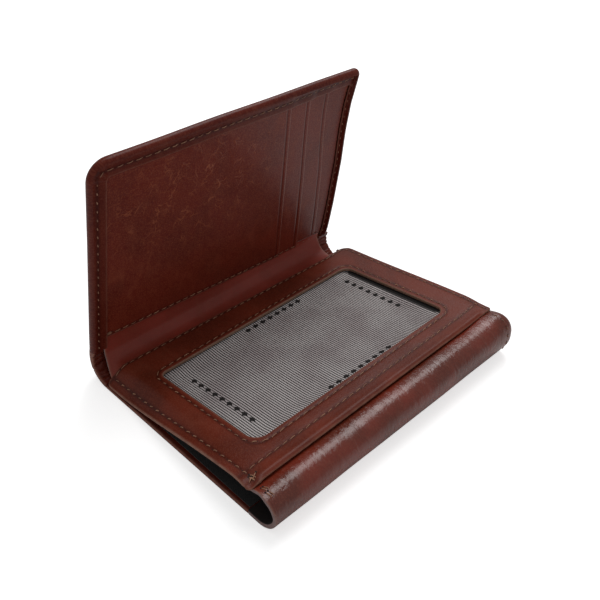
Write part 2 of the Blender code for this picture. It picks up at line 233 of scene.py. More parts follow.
class Tree:
    """Adds nodes to one node tree and links them."""

    def __init__(self, tree: bpy.types.NodeTree) -> None:
        """Start with the tree as it is."""
        self.tree = tree

    def put(self, socket: bpy.types.NodeSocket, value: object) -> None:
        """Feed a socket from another socket, a number or a colour."""
        if isinstance(value, bpy.types.NodeSocket):
            self.tree.links.new(value, socket)
        elif isinstance(value, tuple) and len(value) == 3 and socket.type == "RGBA":
            socket.default_value = (*value, 1.0)
        else:
            socket.default_value = value

    def add(self, kind: str, feeds: Optional[dict] = None, **settings: object) -> bpy.types.Node:
        """Add one node.

        Args:
            kind: Blender's name for the node, after ShaderNode.
            feeds: what each input socket gets, by its name or number.
            settings: the node's own settings.

        Returns:
            The node.
        """
        node = self.tree.nodes.new("ShaderNode" + kind)
        for name, value in settings.items():
            setattr(node, name, value)
        for name, value in (feeds or {}).items():
            self.put(node.inputs[name], value)
        return node

    def math(self, operation: str, *values: object, clamp: bool = False) -> bpy.types.NodeSocket:
        """The result of one sum."""
        feeds = dict(enumerate(values))
        return self.add("Math", feeds, operation=operation, use_clamp=clamp).outputs[0]

    def ramp(self, value: object, low: float, high: float, to_low=0.0, to_high=1.0):
        """A value carried from one range to another, and held inside it."""
        feeds = {0: value, 1: low, 2: high, 3: to_low, 4: to_high}
        return self.add("MapRange", feeds, interpolation_type="SMOOTHSTEP").outputs[0]

    def mix(self, amount: object, a: object, b: object, blend: str = "MIX"):
        """One colour mixed into another."""
        node = self.add("Mix", data_type="RGBA", blend_type=blend)
        self.put(node.inputs["Factor"], amount)
        colors = [socket for socket in node.inputs if socket.type == "RGBA"]
        self.put(colors[0], a)
        self.put(colors[1], b)
        return next(socket for socket in node.outputs if socket.type == "RGBA")

    def noise(self, vector: object, scale: float, detail: float = 2.0, warp: float = 0.0):
        """Soft noise between 0 and 1."""
        feeds = {"Vector": vector, "Scale": scale, "Detail": detail, "Distortion": warp}
        return self.add("TexNoise", feeds).outputs["Fac"]

    def stretch(self, vector: object, scale: tuple, turn: float = 0.0):
        """A vector scaled by axis, after a turn in its own plane."""
        feeds = {"Vector": vector, "Rotation": (0.0, 0.0, turn), "Scale": scale}
        return self.add("Mapping", feeds).outputs[0]

    def bump(
        self, height: object, strength: float, distance: float, under: object = None
    ) -> bpy.types.NodeSocket:
        """A normal raised by a height, on top of another one."""
        feeds = {"Height": height, "Strength": strength, "Distance": distance}
        return self.add("Bump", feeds | ({"Normal": under} if under else {})).outputs[0]

    def mark(self, name: str) -> bpy.types.NodeSocket:
        """One of the piece's own attributes, as a number."""
        return self.add("Attribute", attribute_name=name).outputs["Fac"]

    def hide_map(self) -> bpy.types.NodeSocket:
        """The piece's place on its flat pattern, in metres."""
        return self.add("UVMap", uv_map="pattern").outputs[0]


def new_group(name: str, inputs: dict, outputs: Sequence[str]) -> tuple:
    """An empty node group with named sockets.

    Args:
        name: the group's name.
        inputs: each input's name and its first value, or None for a vector.
        outputs: names of the outputs, all plain numbers.

    Returns:
        The group, its Tree, the sockets that bring its inputs and those that take its outputs.
    """
    group = bpy.data.node_groups.new(name, "ShaderNodeTree")
    for label, value in inputs.items():
        kind = "NodeSocketVector" if value is None else "NodeSocketFloat"
        socket = group.interface.new_socket(label, in_out="INPUT", socket_type=kind)
        if value is not None:
            socket.default_value = value
    for label in outputs:
        group.interface.new_socket(label, in_out="OUTPUT", socket_type="NodeSocketFloat")
    given = group.nodes.new("NodeGroupInput").outputs
    return group, Tree(group), given, group.nodes.new("NodeGroupOutput").inputs


def grain_group() -> bpy.types.NodeTree:
    """Fine leather grain: pebbles, soft wrinkles and a slow change of colour."""
    inputs = {"Vector": None, "Grain": 1500.0, "Wrinkle": 260.0, "Mottle": 60.0}
    outputs = ["Height", "Wrinkles", "Mottle"]
    group, tree, given, result = new_group("leather_grain", inputs, outputs)
    vector = given["Vector"]
    feeds = {"Vector": vector, "Scale": given["Grain"]}
    cells = tree.add("TexVoronoi", feeds, feature="DISTANCE_TO_EDGE").outputs["Distance"]
    pebbles = tree.math("MULTIPLY", tree.ramp(cells, 0.0, 0.22), 0.45)
    fine = tree.noise(vector, given["Grain"], 3.0)
    tree.put(result["Height"], tree.math("MULTIPLY_ADD", fine, 0.7, pebbles))
    uneven = tree.stretch(vector, (1.0, 0.45, 1.0), 0.5)
    tree.put(result["Wrinkles"], tree.noise(uneven, given["Wrinkle"], 4.0, 0.8))
    tree.put(result["Mottle"], tree.noise(vector, given["Mottle"], 5.0, 0.4))
    return group


def vein_group() -> bpy.types.NodeTree:
    """Thin branching veins, as on leather that was creased before it was polished; the finish paints them
    light, partly as a painted highlight.
    """
    inputs = {"Vector": None, "Scale": 150.0, "Width": 0.035}
    group, tree, given, result = new_group("leather_veins", inputs, ["Veins"])
    vector = given["Vector"]
    push = tree.add("TexNoise", {"Vector": vector, "Scale": 190.0, "Detail": 3.0}).outputs["Color"]
    shift = tree.add("VectorMath", {0: push, 1: (0.5, 0.5, 0.5)}, operation="SUBTRACT").outputs[0]
    small = tree.add("VectorMath", {0: shift, "Scale": 0.009}, operation="SCALE").outputs[0]
    bent = tree.add("VectorMath", {0: vector, 1: small}, operation="ADD").outputs[0]
    found = []
    for factor, strength in ((1.0, 1.0), (2.3, 0.6)):
        scale = tree.math("MULTIPLY", given["Scale"], factor)
        cells = tree.add("TexVoronoi", {"Vector": bent, "Scale": scale}, feature="DISTANCE_TO_EDGE")
        near = tree.math("DIVIDE", cells.outputs["Distance"], given["Width"])
        found.append(tree.math("MULTIPLY", tree.math("SUBTRACT", 1.0, near, clamp=True), strength))
    broken = tree.ramp(tree.noise(vector, 210.0, 2.0), 0.42, 0.62)
    tree.put(result["Veins"], tree.math("MULTIPLY", tree.math("MAXIMUM", *found), broken))
    return group


def wear_group() -> bpy.types.NodeTree:
    """Wear along a free edge: strongest on the edge and broken up by noise."""
    group, tree, given, result = new_group("edge_wear", {"Vector": None, "Edge": 0.0}, ["Wear"])
    near = tree.math("POWER", given["Edge"], 2.2)
    patchy = tree.ramp(tree.noise(given["Vector"], 420.0, 4.0), 0.25, 0.75, 0.45, 1.0)
    tree.put(result["Wear"], tree.math("MULTIPLY", near, patchy, clamp=True))
    return group


def weave_group() -> bpy.types.NodeTree:
    """A plain weave: two sets of yarns that pass over each other in turn."""
    inputs = {"Vector": None, "Yarns": 2600.0}
    group, tree, given, result = new_group("plain_weave", inputs, ["Height"])
    cut = tree.add("SeparateXYZ", {0: given["Vector"]}).outputs
    turned = [tree.math("MULTIPLY", cut[axis], given["Yarns"]) for axis in ("X", "Y")]
    crossing = tree.math("MULTIPLY", *(tree.math("SINE", turn) for turn in turned))
    tree.put(result["Height"], tree.ramp(crossing, -1.0, 1.0))
    return group


def lozenge_group() -> bpy.types.NodeTree:
    """One row of small lozenges; it stands upright or lies along the cloth."""
    inputs = {"Vector": None, "Start X": 0.0, "Start Y": 0.0, "Upright": 1.0, "Count": 9.0}
    group, tree, given, result = new_group("lozenge_row", inputs | {"Pitch": 3.3}, ["Mask"])
    cut = tree.add("SeparateXYZ", {0: given["Vector"]}).outputs
    ways = []
    for axis in ("X", "Y"):
        millimetres = tree.math("MULTIPLY", cut[axis], 1.0 / MM)
        ways.append(tree.math("SUBTRACT", millimetres, given["Start " + axis]))
    along = tree.add("Mix", {0: given["Upright"], 2: ways[0], 3: ways[1]}).outputs[0]
    beside = tree.add("Mix", {0: given["Upright"], 2: ways[1], 3: ways[0]}).outputs[0]
    steps = tree.math("DIVIDE", along, given["Pitch"])
    near = tree.math("ABSOLUTE", tree.math("SUBTRACT", tree.math("FRACT", steps), 0.5))
    wide = tree.math("MULTIPLY", tree.math("ABSOLUTE", beside), 0.42)
    mask = tree.ramp(tree.math("ADD", near, wide), 0.34, 0.46, 1.0, 0.0)
    inside = tree.math("MULTIPLY", tree.math("GREATER_THAN", steps, 0.0), mask)
    before = tree.math("LESS_THAN", steps, given["Count"])
    tree.put(result["Mask"], tree.math("MULTIPLY", inside, before))
    return group


class Groups:
    """The shared node groups, each built once."""

    def __init__(self) -> None:
        """Build all of them."""
        self.grain, self.veins, self.wear = grain_group(), vein_group(), wear_group()
        self.weave, self.lozenges = weave_group(), lozenge_group()

    @staticmethod
    def use(tree: Tree, group: bpy.types.NodeTree, feeds: dict) -> bpy.types.bpy_prop_collection:
        """Place a group in a material.

        Args:
            tree: the material's tree.
            group: the group to place.
            feeds: what each of its inputs gets.

        Returns:
            The outputs of the group's node.
        """
        node = tree.add("Group")
        node.node_tree = group
        for name, value in feeds.items():
            tree.put(node.inputs[name], value)
        return node.outputs


def new_material(name: str) -> tuple:
    """A material with its Principled shader.

    Args:
        name: the material's name.

    Returns:
        The material, its Tree and the shader node.
    """
    material = bpy.data.materials.new(name)
    material.use_nodes = True
    return material, Tree(material.node_tree), material.node_tree.nodes["Principled BSDF"]


@dataclass(frozen=True)
class Finish:
    """A procedural finish: each kind paints its own colour, roughness and bumps."""

    name: str

    def build(self, groups: Groups) -> bpy.types.Material:
        """Make the material.

        Args:
            groups: the shared node groups.

        Returns:
            The material.
        """
        material, tree, shader = new_material(self.name)
        values = self.paint(tree, shader, groups)
        for label, value in zip(("Base Color", "Roughness", "Normal"), values):
            tree.put(shader.inputs[label], value)
        return material

    def paint(self, tree: Tree, shader: bpy.types.Node, groups: Groups) -> tuple:
        """Add the finish's nodes.

        Args:
            tree: the material's tree.
            shader: its Principled shader, for the values that are the same everywhere.
            groups: the shared node groups.

        Returns:
            What feeds the colour, the roughness and the normal.
        """
        raise NotImplementedError


@dataclass(frozen=True)
class LeatherFinish(Finish):
    """Polished pull-up leather."""

    color: tuple = (0.150, 0.026, 0.011)
    deep: tuple = (0.108, 0.016, 0.007)
    light: tuple = (0.230, 0.062, 0.032)
    rough: float = 0.36
    coat: float = 0.08
    shine: float = 0.38
    grain: float = 1500.0
    grain_depth: float = 0.10
    wrinkle: float = 260.0
    wrinkle_depth: float = 0.10
    mottle: float = 55.0
    veins: float = 0.0
    seam_shade: float = 0.45
    edge_light: tuple = (0.34, 0.17, 0.12)

    def paint(self, tree: Tree, shader: bpy.types.Node, groups: Groups) -> tuple:
        """Dye in patches, lighter rubbed wrinkles, light veins that are partly a painted highlight, painted
        shade along seams and creases, and worn edges.
        """
        vector = tree.hide_map()
        feeds = {"Vector": vector, "Grain": self.grain, "Wrinkle": self.wrinkle}
        grain = groups.use(tree, groups.grain, feeds | {"Mottle": self.mottle})
        wear = groups.use(tree, groups.wear, {"Vector": vector, "Edge": tree.mark("edge")})[0]
        color = tree.mix(tree.ramp(grain["Mottle"], 0.36, 0.64), self.deep, self.color)
        color = tree.mix(tree.ramp(grain["Wrinkles"], 0.52, 0.80, 0.0, 0.22), color, self.light)
        normal = tree.bump(grain["Height"], self.grain_depth, 0.0002)
        normal = tree.bump(grain["Wrinkles"], self.wrinkle_depth, 0.0006, normal)
        # Veins: creases painted in the light colour, partly a painted highlight.
        if self.veins:
            veins = groups.use(tree, groups.veins, {"Vector": vector})[0]
            shown = tree.math("MULTIPLY", tree.mark("veins"), veins)
            color = tree.mix(tree.math("MULTIPLY", shown, self.veins), color, self.light)
            normal = tree.bump(shown, 0.25, 0.0002, normal)
        color = tree.mix(tree.ramp(grain["Height"], 0.35, 0.95, 0.0, 0.30), color, self.light)
        # Painted shade: the seam mark darkens seam grooves and pocket creases toward a darker copy of the
        # deep colour.
        shade = tuple(part * self.seam_shade for part in self.deep)
        color = tree.mix(tree.math("MULTIPLY", tree.mark("seam"), 0.8), color, shade)
        rough = tree.ramp(grain["Wrinkles"], 0.2, 0.8, self.rough - 0.07, self.rough + 0.09)
        shader.inputs["Specular IOR Level"].default_value = self.shine
        shader.inputs["Coat Weight"].default_value = self.coat
        shader.inputs["Coat Roughness"].default_value = 0.22
        worn = tree.mix(wear, color, self.edge_light)
        return worn, tree.math("MULTIPLY_ADD", wear, 0.14, rough), normal


@dataclass(frozen=True)
class RawEdgeFinish(Finish):
    """The cut edge or the flesh side of hide: fibrous and dull."""

    color: tuple
    fibre: tuple
    rough: float = 0.75

    def paint(self, tree: Tree, shader: bpy.types.Node, groups: Groups) -> tuple:
        """Drawn-out fibres with cloudy patches over them."""
        place = tree.add("TexCoord").outputs["Object"]
        fibres = tree.noise(tree.stretch(place, (0.4, 1.0, 3.0)), 2400.0, 4.0, 0.6)
        cloudy = tree.ramp(tree.noise(place, 300.0, 3.0), 0.4, 0.8, 0.0, 0.5)
        color = tree.mix(tree.ramp(fibres, 0.3, 0.7), self.color, self.fibre)
        color = tree.mix(cloudy, color, self.color)
        rough = tree.ramp(fibres, 0.0, 1.0, self.rough - 0.1, 0.95)
        return color, rough, tree.bump(fibres, 0.4, 0.0002)


@dataclass(frozen=True)
class ClothFinish(Finish):
    """Plain woven lining."""

    yarn: tuple
    gap: tuple
    yarns: float = 9000.0
    sheen: float = 0.3

    def paint(self, tree: Tree, shader: bpy.types.Node, groups: Groups) -> tuple:
        """A weave with uneven yarns."""
        vector = tree.hide_map()
        weave = groups.use(tree, groups.weave, {"Vector": vector, "Yarns": self.yarns})[0]
        slubs = tree.noise(tree.stretch(vector, (0.3, 3.0, 1.0)), 500.0, 3.0)
        color = tree.mix(weave, self.gap, self.yarn)
        color = tree.mix(tree.ramp(slubs, 0.45, 0.75, 0.0, 0.4), color, self.yarn)
        shader.inputs["Sheen Weight"].default_value = self.sheen
        return color, tree.ramp(slubs, 0.2, 0.8, 0.7, 0.95), tree.bump(weave, 0.5, 0.0001)


@dataclass(frozen=True)
class RibbedClothFinish(Finish):
    """Ribbed window cloth: pale ribs with dark gaps, four rows of dark woven lozenges, and painted shadow
    strips along the window's left and right edges.
    """

    rib: tuple = (0.78, 0.73, 0.72)
    gap: tuple = (0.010, 0.008, 0.008)
    warm: tuple = (0.62, 0.55, 0.55)
    knots: float = 9600.0
    motif: tuple = (
        ((-34.6, -15.2), 1.0, 9.0), ((38.2, -9.0), 1.0, 8.0), ((-11.0, -20.4), 0.0, 9.0),
        ((-8.0, 19.6), 0.0, 8.0),
    )

    def paint(self, tree: Tree, shader: bpy.types.Node, groups: Groups) -> tuple:
        """Ribs from the piece's own mark, which also holds painted shadow at the window's sides, knots
        across them and the rows of lozenges.
        """
        vector = tree.hide_map()
        along = tree.add("SeparateXYZ", {0: vector}).outputs["Y"]
        knots = tree.math("SINE", tree.math("MULTIPLY", along, self.knots))
        height = tree.mark("rib")
        rib = tree.mix(tree.ramp(tree.noise(vector, 70.0, 2.0), 0.35, 0.7), self.rib, self.warm)
        rib = tree.mix(tree.ramp(knots, -1.0, 1.0, 0.0, 0.35), rib, self.gap)
        # Low rib values near the window's sides give the painted shadow strips.
        color = tree.mix(tree.ramp(height, 0.30, 0.60), self.gap, rib)
        for start, upright, count in self.motif:
            feeds = {"Vector": vector, "Start X": start[0], "Start Y": start[1], "Upright": upright}
            row = groups.use(tree, groups.lozenges, feeds | {"Count": count})
            color = tree.mix(row["Mask"], color, self.gap)
        return color, tree.ramp(height, 0.0, 1.0, 0.8, 0.42), tree.bump(knots, 0.25, 0.00008)


@dataclass(frozen=True)
class ThreadFinish(Finish):
    """Waxed thread with its twist."""

    color: tuple = (0.430, 0.210, 0.120)
    dark: tuple = (0.240, 0.105, 0.060)
    twists: float = 14.0

    def paint(self, tree: Tree, shader: bpy.types.Node, groups: Groups) -> tuple:
        """Strands that wind round the stitch, and a slow change of tone."""
        place = tree.add("TexCoord").outputs["Object"]
        along = tree.math("MULTIPLY", tree.mark("along"), self.twists)
        turned = tree.math("MULTIPLY_ADD", tree.mark("around"), 2.0 * math.pi, along)
        strands = tree.math("SINE", turned)
        tone = tree.ramp(tree.noise(place, 240.0, 1.0), 0.3, 0.7)
        color = tree.mix(tone, self.color, self.dark)
        color = tree.mix(tree.ramp(strands, -1.0, 0.4, 0.55, 0.0), color, self.dark)
        return color, tree.ramp(strands, -1.0, 1.0, 0.62, 0.42), tree.bump(strands, 0.5, 0.0001)


class Finishes:
    """Every material of the holder."""

    def __init__(self) -> None:
        """Build them all from the shared groups."""
        groups = Groups()
        self.outer = LeatherFinish(
            "outer_hide", color=(0.115, 0.013, 0.006), deep=(0.088, 0.009, 0.005), shine=0.13,
            edge_light=(0.27, 0.11, 0.075),
        ).build(groups)
        self.roll = LeatherFinish(
            "roll_hide", color=(0.19, 0.022, 0.010), wrinkle=620.0, wrinkle_depth=0.5, rough=0.24,
            shine=0.5, coat=0.16,
        ).build(groups)
        self.panel = LeatherFinish(
            "panel_hide", color=(0.165, 0.025, 0.011), shine=0.15, grain_depth=0.28, rough=0.40
        ).build(groups)
        # The pocket's light veins are partly a painted highlight.
        self.pocket = LeatherFinish(
            "pocket_hide", color=(0.152, 0.0145, 0.0075), deep=(0.118, 0.011, 0.006),
            light=(0.36, 0.10, 0.045), veins=0.9, shine=0.2, rough=0.34, wrinkle_depth=0.03,
        ).build(groups)
        self.gusset = LeatherFinish(
            "gusset_hide", color=(0.29, 0.040, 0.026), deep=(0.22, 0.030, 0.018), rough=0.44,
            coat=0.0, shine=0.3, wrinkle_depth=0.16,
        ).build(groups)
        raw = lambda *values: RawEdgeFinish(*values).build(groups)
        self.flesh = raw("flesh_side", (0.006, 0.004, 0.003), (0.016, 0.008, 0.006))
        self.cut = raw("cut_edge", (0.17, 0.085, 0.055), (0.26, 0.15, 0.10))
        self.dyed_cut = raw("dyed_edge", (0.20, 0.12, 0.11), (0.30, 0.20, 0.19), 0.5)
        # Needle holes are flat near-black discs: painted shade in place of real holes.
        self.hole = raw("needle_hole", (0.006, 0.003, 0.002), (0.012, 0.005, 0.004))
        self.board = raw("stiffener_board", (0.30, 0.21, 0.13), (0.38, 0.28, 0.18))
        cloth = lambda *values: ClothFinish(*values).build(groups)
        self.black_cloth = cloth("black_lining", (0.014, 0.012, 0.012), (0.004, 0.004, 0.004))
        self.brown_cloth = cloth("brown_lining", (0.06, 0.03, 0.02), (0.02, 0.01, 0.008))
        self.window = RibbedClothFinish("ribbed_window_cloth").build(groups)
        self.thread = ThreadFinish("brown_thread").build(groups)


# --- Hide and cloth sheets ---


@dataclass
class Sheet:
    """A sheet with a wall: a net that is placed in space and then given its thickness."""

    name: str
    columns: Array
    rows: Array
    place: Field
    wall: float
    materials: list
    side: Side = Side.UNDER
    free: Optional[Field] = None
    pattern: Optional[Field] = None
    marks: dict = field(default_factory=dict)
    thickness: Optional[Field] = None
    thinnest: float = 0.0
    round_off: float = 0.25
    merge: bool = False
    edge_reach: float = 1.1

    def build(self) -> Thing:
        """Make the sheet's mesh, at the origin.

        Returns:
            The finished object.
        """
        deselect_all()
        wide, deep = len(self.columns) - 1, len(self.rows) - 1
        bpy.ops.mesh.primitive_grid_add(x_subdivisions=wide, y_subdivisions=deep, size=1.0)
        sheet = bpy.context.object
        sheet.name = self.name
        mesh = sheet.data
        mesh.name = self.name
        spots = read_points(mesh)
        u = self.columns[np.rint((spots[:, 0] + 0.5) * wide).astype(int)]
        v = self.rows[np.rint((spots[:, 1] + 0.5) * deep).astype(int)]
        write_points(mesh, self.place(u, v) * MM)
        self.write_pattern(mesh, u, v)
        self.write_marks(mesh, u, v)
        for material in self.materials:
            mesh.materials.append(material)
        take(sheet)
        if self.merge:
            bpy.ops.object.mode_set(mode="EDIT")
            bpy.ops.mesh.select_all(action="SELECT")
            bpy.ops.mesh.remove_doubles(threshold=2e-6)
            bpy.ops.object.mode_set(mode="OBJECT")
        self.add_wall(sheet)
        if self.free is not None and self.round_off > 0:
            self.round_edges(sheet)
        bpy.ops.object.shade_smooth_by_angle(angle=math.radians(42.0))
        return sheet

    def write_pattern(self, mesh: bpy.types.Mesh, u: Array, v: Array) -> None:
        """Write where each point lies on the flat hide, in metres, as the UV map."""
        layer = mesh.uv_layers.active
        layer.name = "pattern"
        flat = self.pattern(u, v) if self.pattern else np.stack([u, v], axis=-1)
        corners = np.empty(len(mesh.loops), int)
        mesh.loops.foreach_get("vertex_index", corners)
        layer.data.foreach_set("uv", (flat[corners] * MM).astype(np.float32).ravel())

    def write_marks(self, mesh: bpy.types.Mesh, u: Array, v: Array) -> None:
        """Write the numbers that the finishes read: closeness to a free edge, seams and more."""
        values = {name: made(u, v) for name, made in self.marks.items()}
        if self.free is not None:
            values["edge"] = np.clip(1.0 - self.free(u, v) / self.edge_reach, 0.0, 1.0)
        if self.thickness is not None:
            share = (self.thickness(u, v) - self.thinnest) / (self.wall - self.thinnest)
            values["share"] = np.clip(share, 0.0, 1.0)
        for name, numbers in values.items():
            layer = mesh.attributes.new(name, "FLOAT", "POINT")
            layer.data.foreach_set("value", numbers.astype(np.float32))

    def add_wall(self, sheet: Thing) -> None:
        """Give the net its wall."""
        solid = sheet.modifiers.new("Wall", "SOLIDIFY")
        solid.thickness = self.wall * MM
        solid.offset = self.side.value
        solid.use_even_offset = True
        if len(self.materials) > 1:
            solid.material_offset = 1
            solid.material_offset_rim = len(self.materials) - 1
        if self.thickness is not None:
            group = sheet.vertex_groups.new(name="wall")
            shares = np.empty(len(sheet.data.vertices), np.float32)
            sheet.data.attributes["share"].data.foreach_get("value", shares)
            for level in np.unique(np.round(shares, 2)):
                chosen = np.flatnonzero(np.round(shares, 2) == level)
                group.add([int(i) for i in chosen], float(level), "REPLACE")
            solid.vertex_group = group.name
            solid.thickness_vertex_group = self.thinnest / self.wall
        bpy.ops.object.modifier_apply(modifier=solid.name)
        if self.thickness is not None:
            sheet.vertex_groups.clear()
            sheet.data.attributes.remove(sheet.data.attributes["share"])

    def round_edges(self, sheet: Thing) -> None:
        """Round the sharp rims that lie on a free edge."""
        bpy.context.tool_settings.mesh_select_mode = (False, True, False)
        bpy.ops.object.mode_set(mode="EDIT")
        net = bmesh.from_edit_mesh(sheet.data)
        near = net.verts.layers.float["edge"]
        sharp = math.radians(55.0)
        for vert in net.verts:
            vert.select = False
        for face in net.faces:
            face.select = False
        for edge in net.edges:
            free = edge.verts[0][near] > 0.97 and edge.verts[1][near] > 0.97
            edge.select = free and edge.is_manifold and edge.calc_face_angle() > sharp
        net.select_flush_mode()
        bmesh.update_edit_mesh(sheet.data)
        bpy.ops.mesh.bevel(offset=self.round_off * MM, segments=3, affect="EDGES")
        bpy.ops.object.mode_set(mode="OBJECT")


def settle(
    piece: Thing, body: Optional[Body] = None, stands_for: Sequence[str] = (),
) -> Thing:
    """Tie a finished piece to the frame.

    Args:
        piece: the piece.
        body: the body that it rides on, or None for a piece that bends between two.
        stands_for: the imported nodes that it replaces.

    Returns:
        The piece.
    """
    if body is not None:
        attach(piece, body.value)
    if stands_for:
        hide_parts(*stands_for)
    LOG.info("%s: %d faces", piece.name, len(piece.data.polygons))
    return piece


# --- Seams ---


@dataclass(frozen=True)
class Stitch:
    """Sizes of one visible stitch and of the dark disc at its end, painted shade that stands for the needle
    hole.
    """

    pitch: float = 2.8
    length: float = 2.5
    radius: float = 0.19
    rise: float = 0.12
    droop: float = 0.34
    slant: float = 7.0
    hole: float = 0.34


LONG = Stitch(pitch=3.0, length=2.8, radius=0.15, hole=0.17)
SHORT = Stitch(pitch=3.1, length=1.75, radius=0.18, hole=0.24, slant=14.0)


class SewingKit:
    """Lays stitches along lines: each is a short bent roll of thread that dips in at both ends."""

    def __init__(self, thread: bpy.types.Material, hole: bpy.types.Material) -> None:
        """Model one stitch and one flat disc of painted shade for a needle hole.

        Args:
            thread: the thread's material.
            hole: the material of the needle holes' discs of painted shade.
        """
        self.materials = (thread, hole)
        self.stitch, self.stitch_faces = self.template(8, 7)
        self.hole, self.hole_faces = self.template(6, 3)
        self.random = np.random.default_rng(SEED)

    @staticmethod
    def template(segments: int, rings: int) -> tuple:
        """A unit ball with its poles on X, as points and faces."""
        deselect_all()
        bpy.ops.mesh.primitive_uv_sphere_add(segments=segments, ring_count=rings, radius=1.0)
        ball = bpy.context.object
        bpy.ops.transform.rotate(
            value=math.radians(90.0), orient_axis="Y", center_override=(0.0, 0.0, 0.0)
        )
        bpy.ops.object.transform_apply(location=True, rotation=True, scale=True)
        points = read_points(ball.data)
        faces = [list(polygon.vertices) for polygon in ball.data.polygons]
        bpy.data.objects.remove(ball, do_unlink=True)
        return points, faces

    def lay(self, name: str, runs: list, style: Optional[Stitch] = None) -> Thing:
        """Sew along several lines.

        Args:
            name: the new piece's name.
            runs: pairs of a Polyline in space and a function that gives the outward direction at
                points along it.
            style: the stitch's sizes, or None to take long stitches along X and short ones across.

        Returns:
            One mesh with all the stitches and the painted shade discs of their needle holes.
        """
        points, faces, kinds, along, around = [], [], [], [], []
        chosen, count = style, 0
        winding = np.arctan2(self.stitch[:, 2], self.stitch[:, 1]) / (2 * math.pi)
        for line, outward in runs:
            number = max(1, int(round(line.length / (style or LONG).pitch)))
            middles = (np.arange(number) + 0.5) * line.length / number
            places, headings = line.at(middles), line.heading(middles)
            for place, heading, normal in zip(places, headings, outward(places)):
                style = chosen or (LONG if abs(heading[0]) > 0.7 else SHORT)
                axes = self.axes(heading, normal, style)
                half = style.length / 2 * self.random.uniform(*LENGTH_SPREAD)
                radius = style.radius * self.random.uniform(*RADIUS_SPREAD)
                body = self.stitch * (half, radius, radius * 0.85)
                body[:, 2] += style.rise - style.droop * self.stitch[:, 0] ** 2
                # A flat dark disc at the stitch's end: painted shade for the needle hole.
                end = self.hole * (style.hole, style.hole * 0.8, 0.07)
                end[:, 0] += half * 0.97
                pair = ((body, self.stitch_faces), (end, self.hole_faces))
                for kind, (shape, sides) in enumerate(pair):
                    points.append(place + shape @ axes)
                    faces += [[i + count for i in side] for side in sides]
                    kinds += [kind] * len(sides)
                    count += len(shape)
                along += [self.stitch[:, 0] * half / 2.0, np.zeros(len(end))]
                around += [winding, np.zeros(len(end))]
        mesh = bpy.data.meshes.new(name)
        mesh.from_pydata((np.concatenate(points) * MM).tolist(), [], faces)
        mesh.polygons.foreach_set("material_index", kinds)
        for label, values in (("along", along), ("around", around)):
            layer = mesh.attributes.new(label, "FLOAT", "POINT")
            layer.data.foreach_set("value", np.concatenate(values).astype(np.float32))
        for material in self.materials:
            mesh.materials.append(material)
        piece = bpy.data.objects.new(name, mesh)
        bpy.context.scene.collection.objects.link(piece)
        take(piece)
        bpy.ops.object.mode_set(mode="EDIT")
        bpy.ops.mesh.select_all(action="SELECT")
        bpy.ops.mesh.normals_make_consistent(inside=False)
        bpy.ops.object.mode_set(mode="OBJECT")
        bpy.ops.object.shade_smooth()
        return piece

    def sew(
        self, name: str, runs: list, body: Body, nodes: Sequence[str] = (),
        style: Optional[Stitch] = None,
    ) -> None:
        """Lay a seam and tie it to its body; the arguments are those of lay() and settle()."""
        settle(self.lay(name, runs, style), body, nodes)

    def axes(self, heading: Array, normal: Array, style: Stitch) -> Array:
        """The stitch's own axes as rows: along, across and out, turned by its slant."""
        normal = normal - heading * float(normal @ heading)
        normal = normal / np.linalg.norm(normal)
        across = np.cross(normal, heading)
        turn = math.radians(style.slant + self.random.uniform(*SLANT_SPREAD))
        turned = heading * math.cos(turn) + across * math.sin(turn)
        return np.stack([turned, np.cross(normal, turned), normal])


# --- Base ---


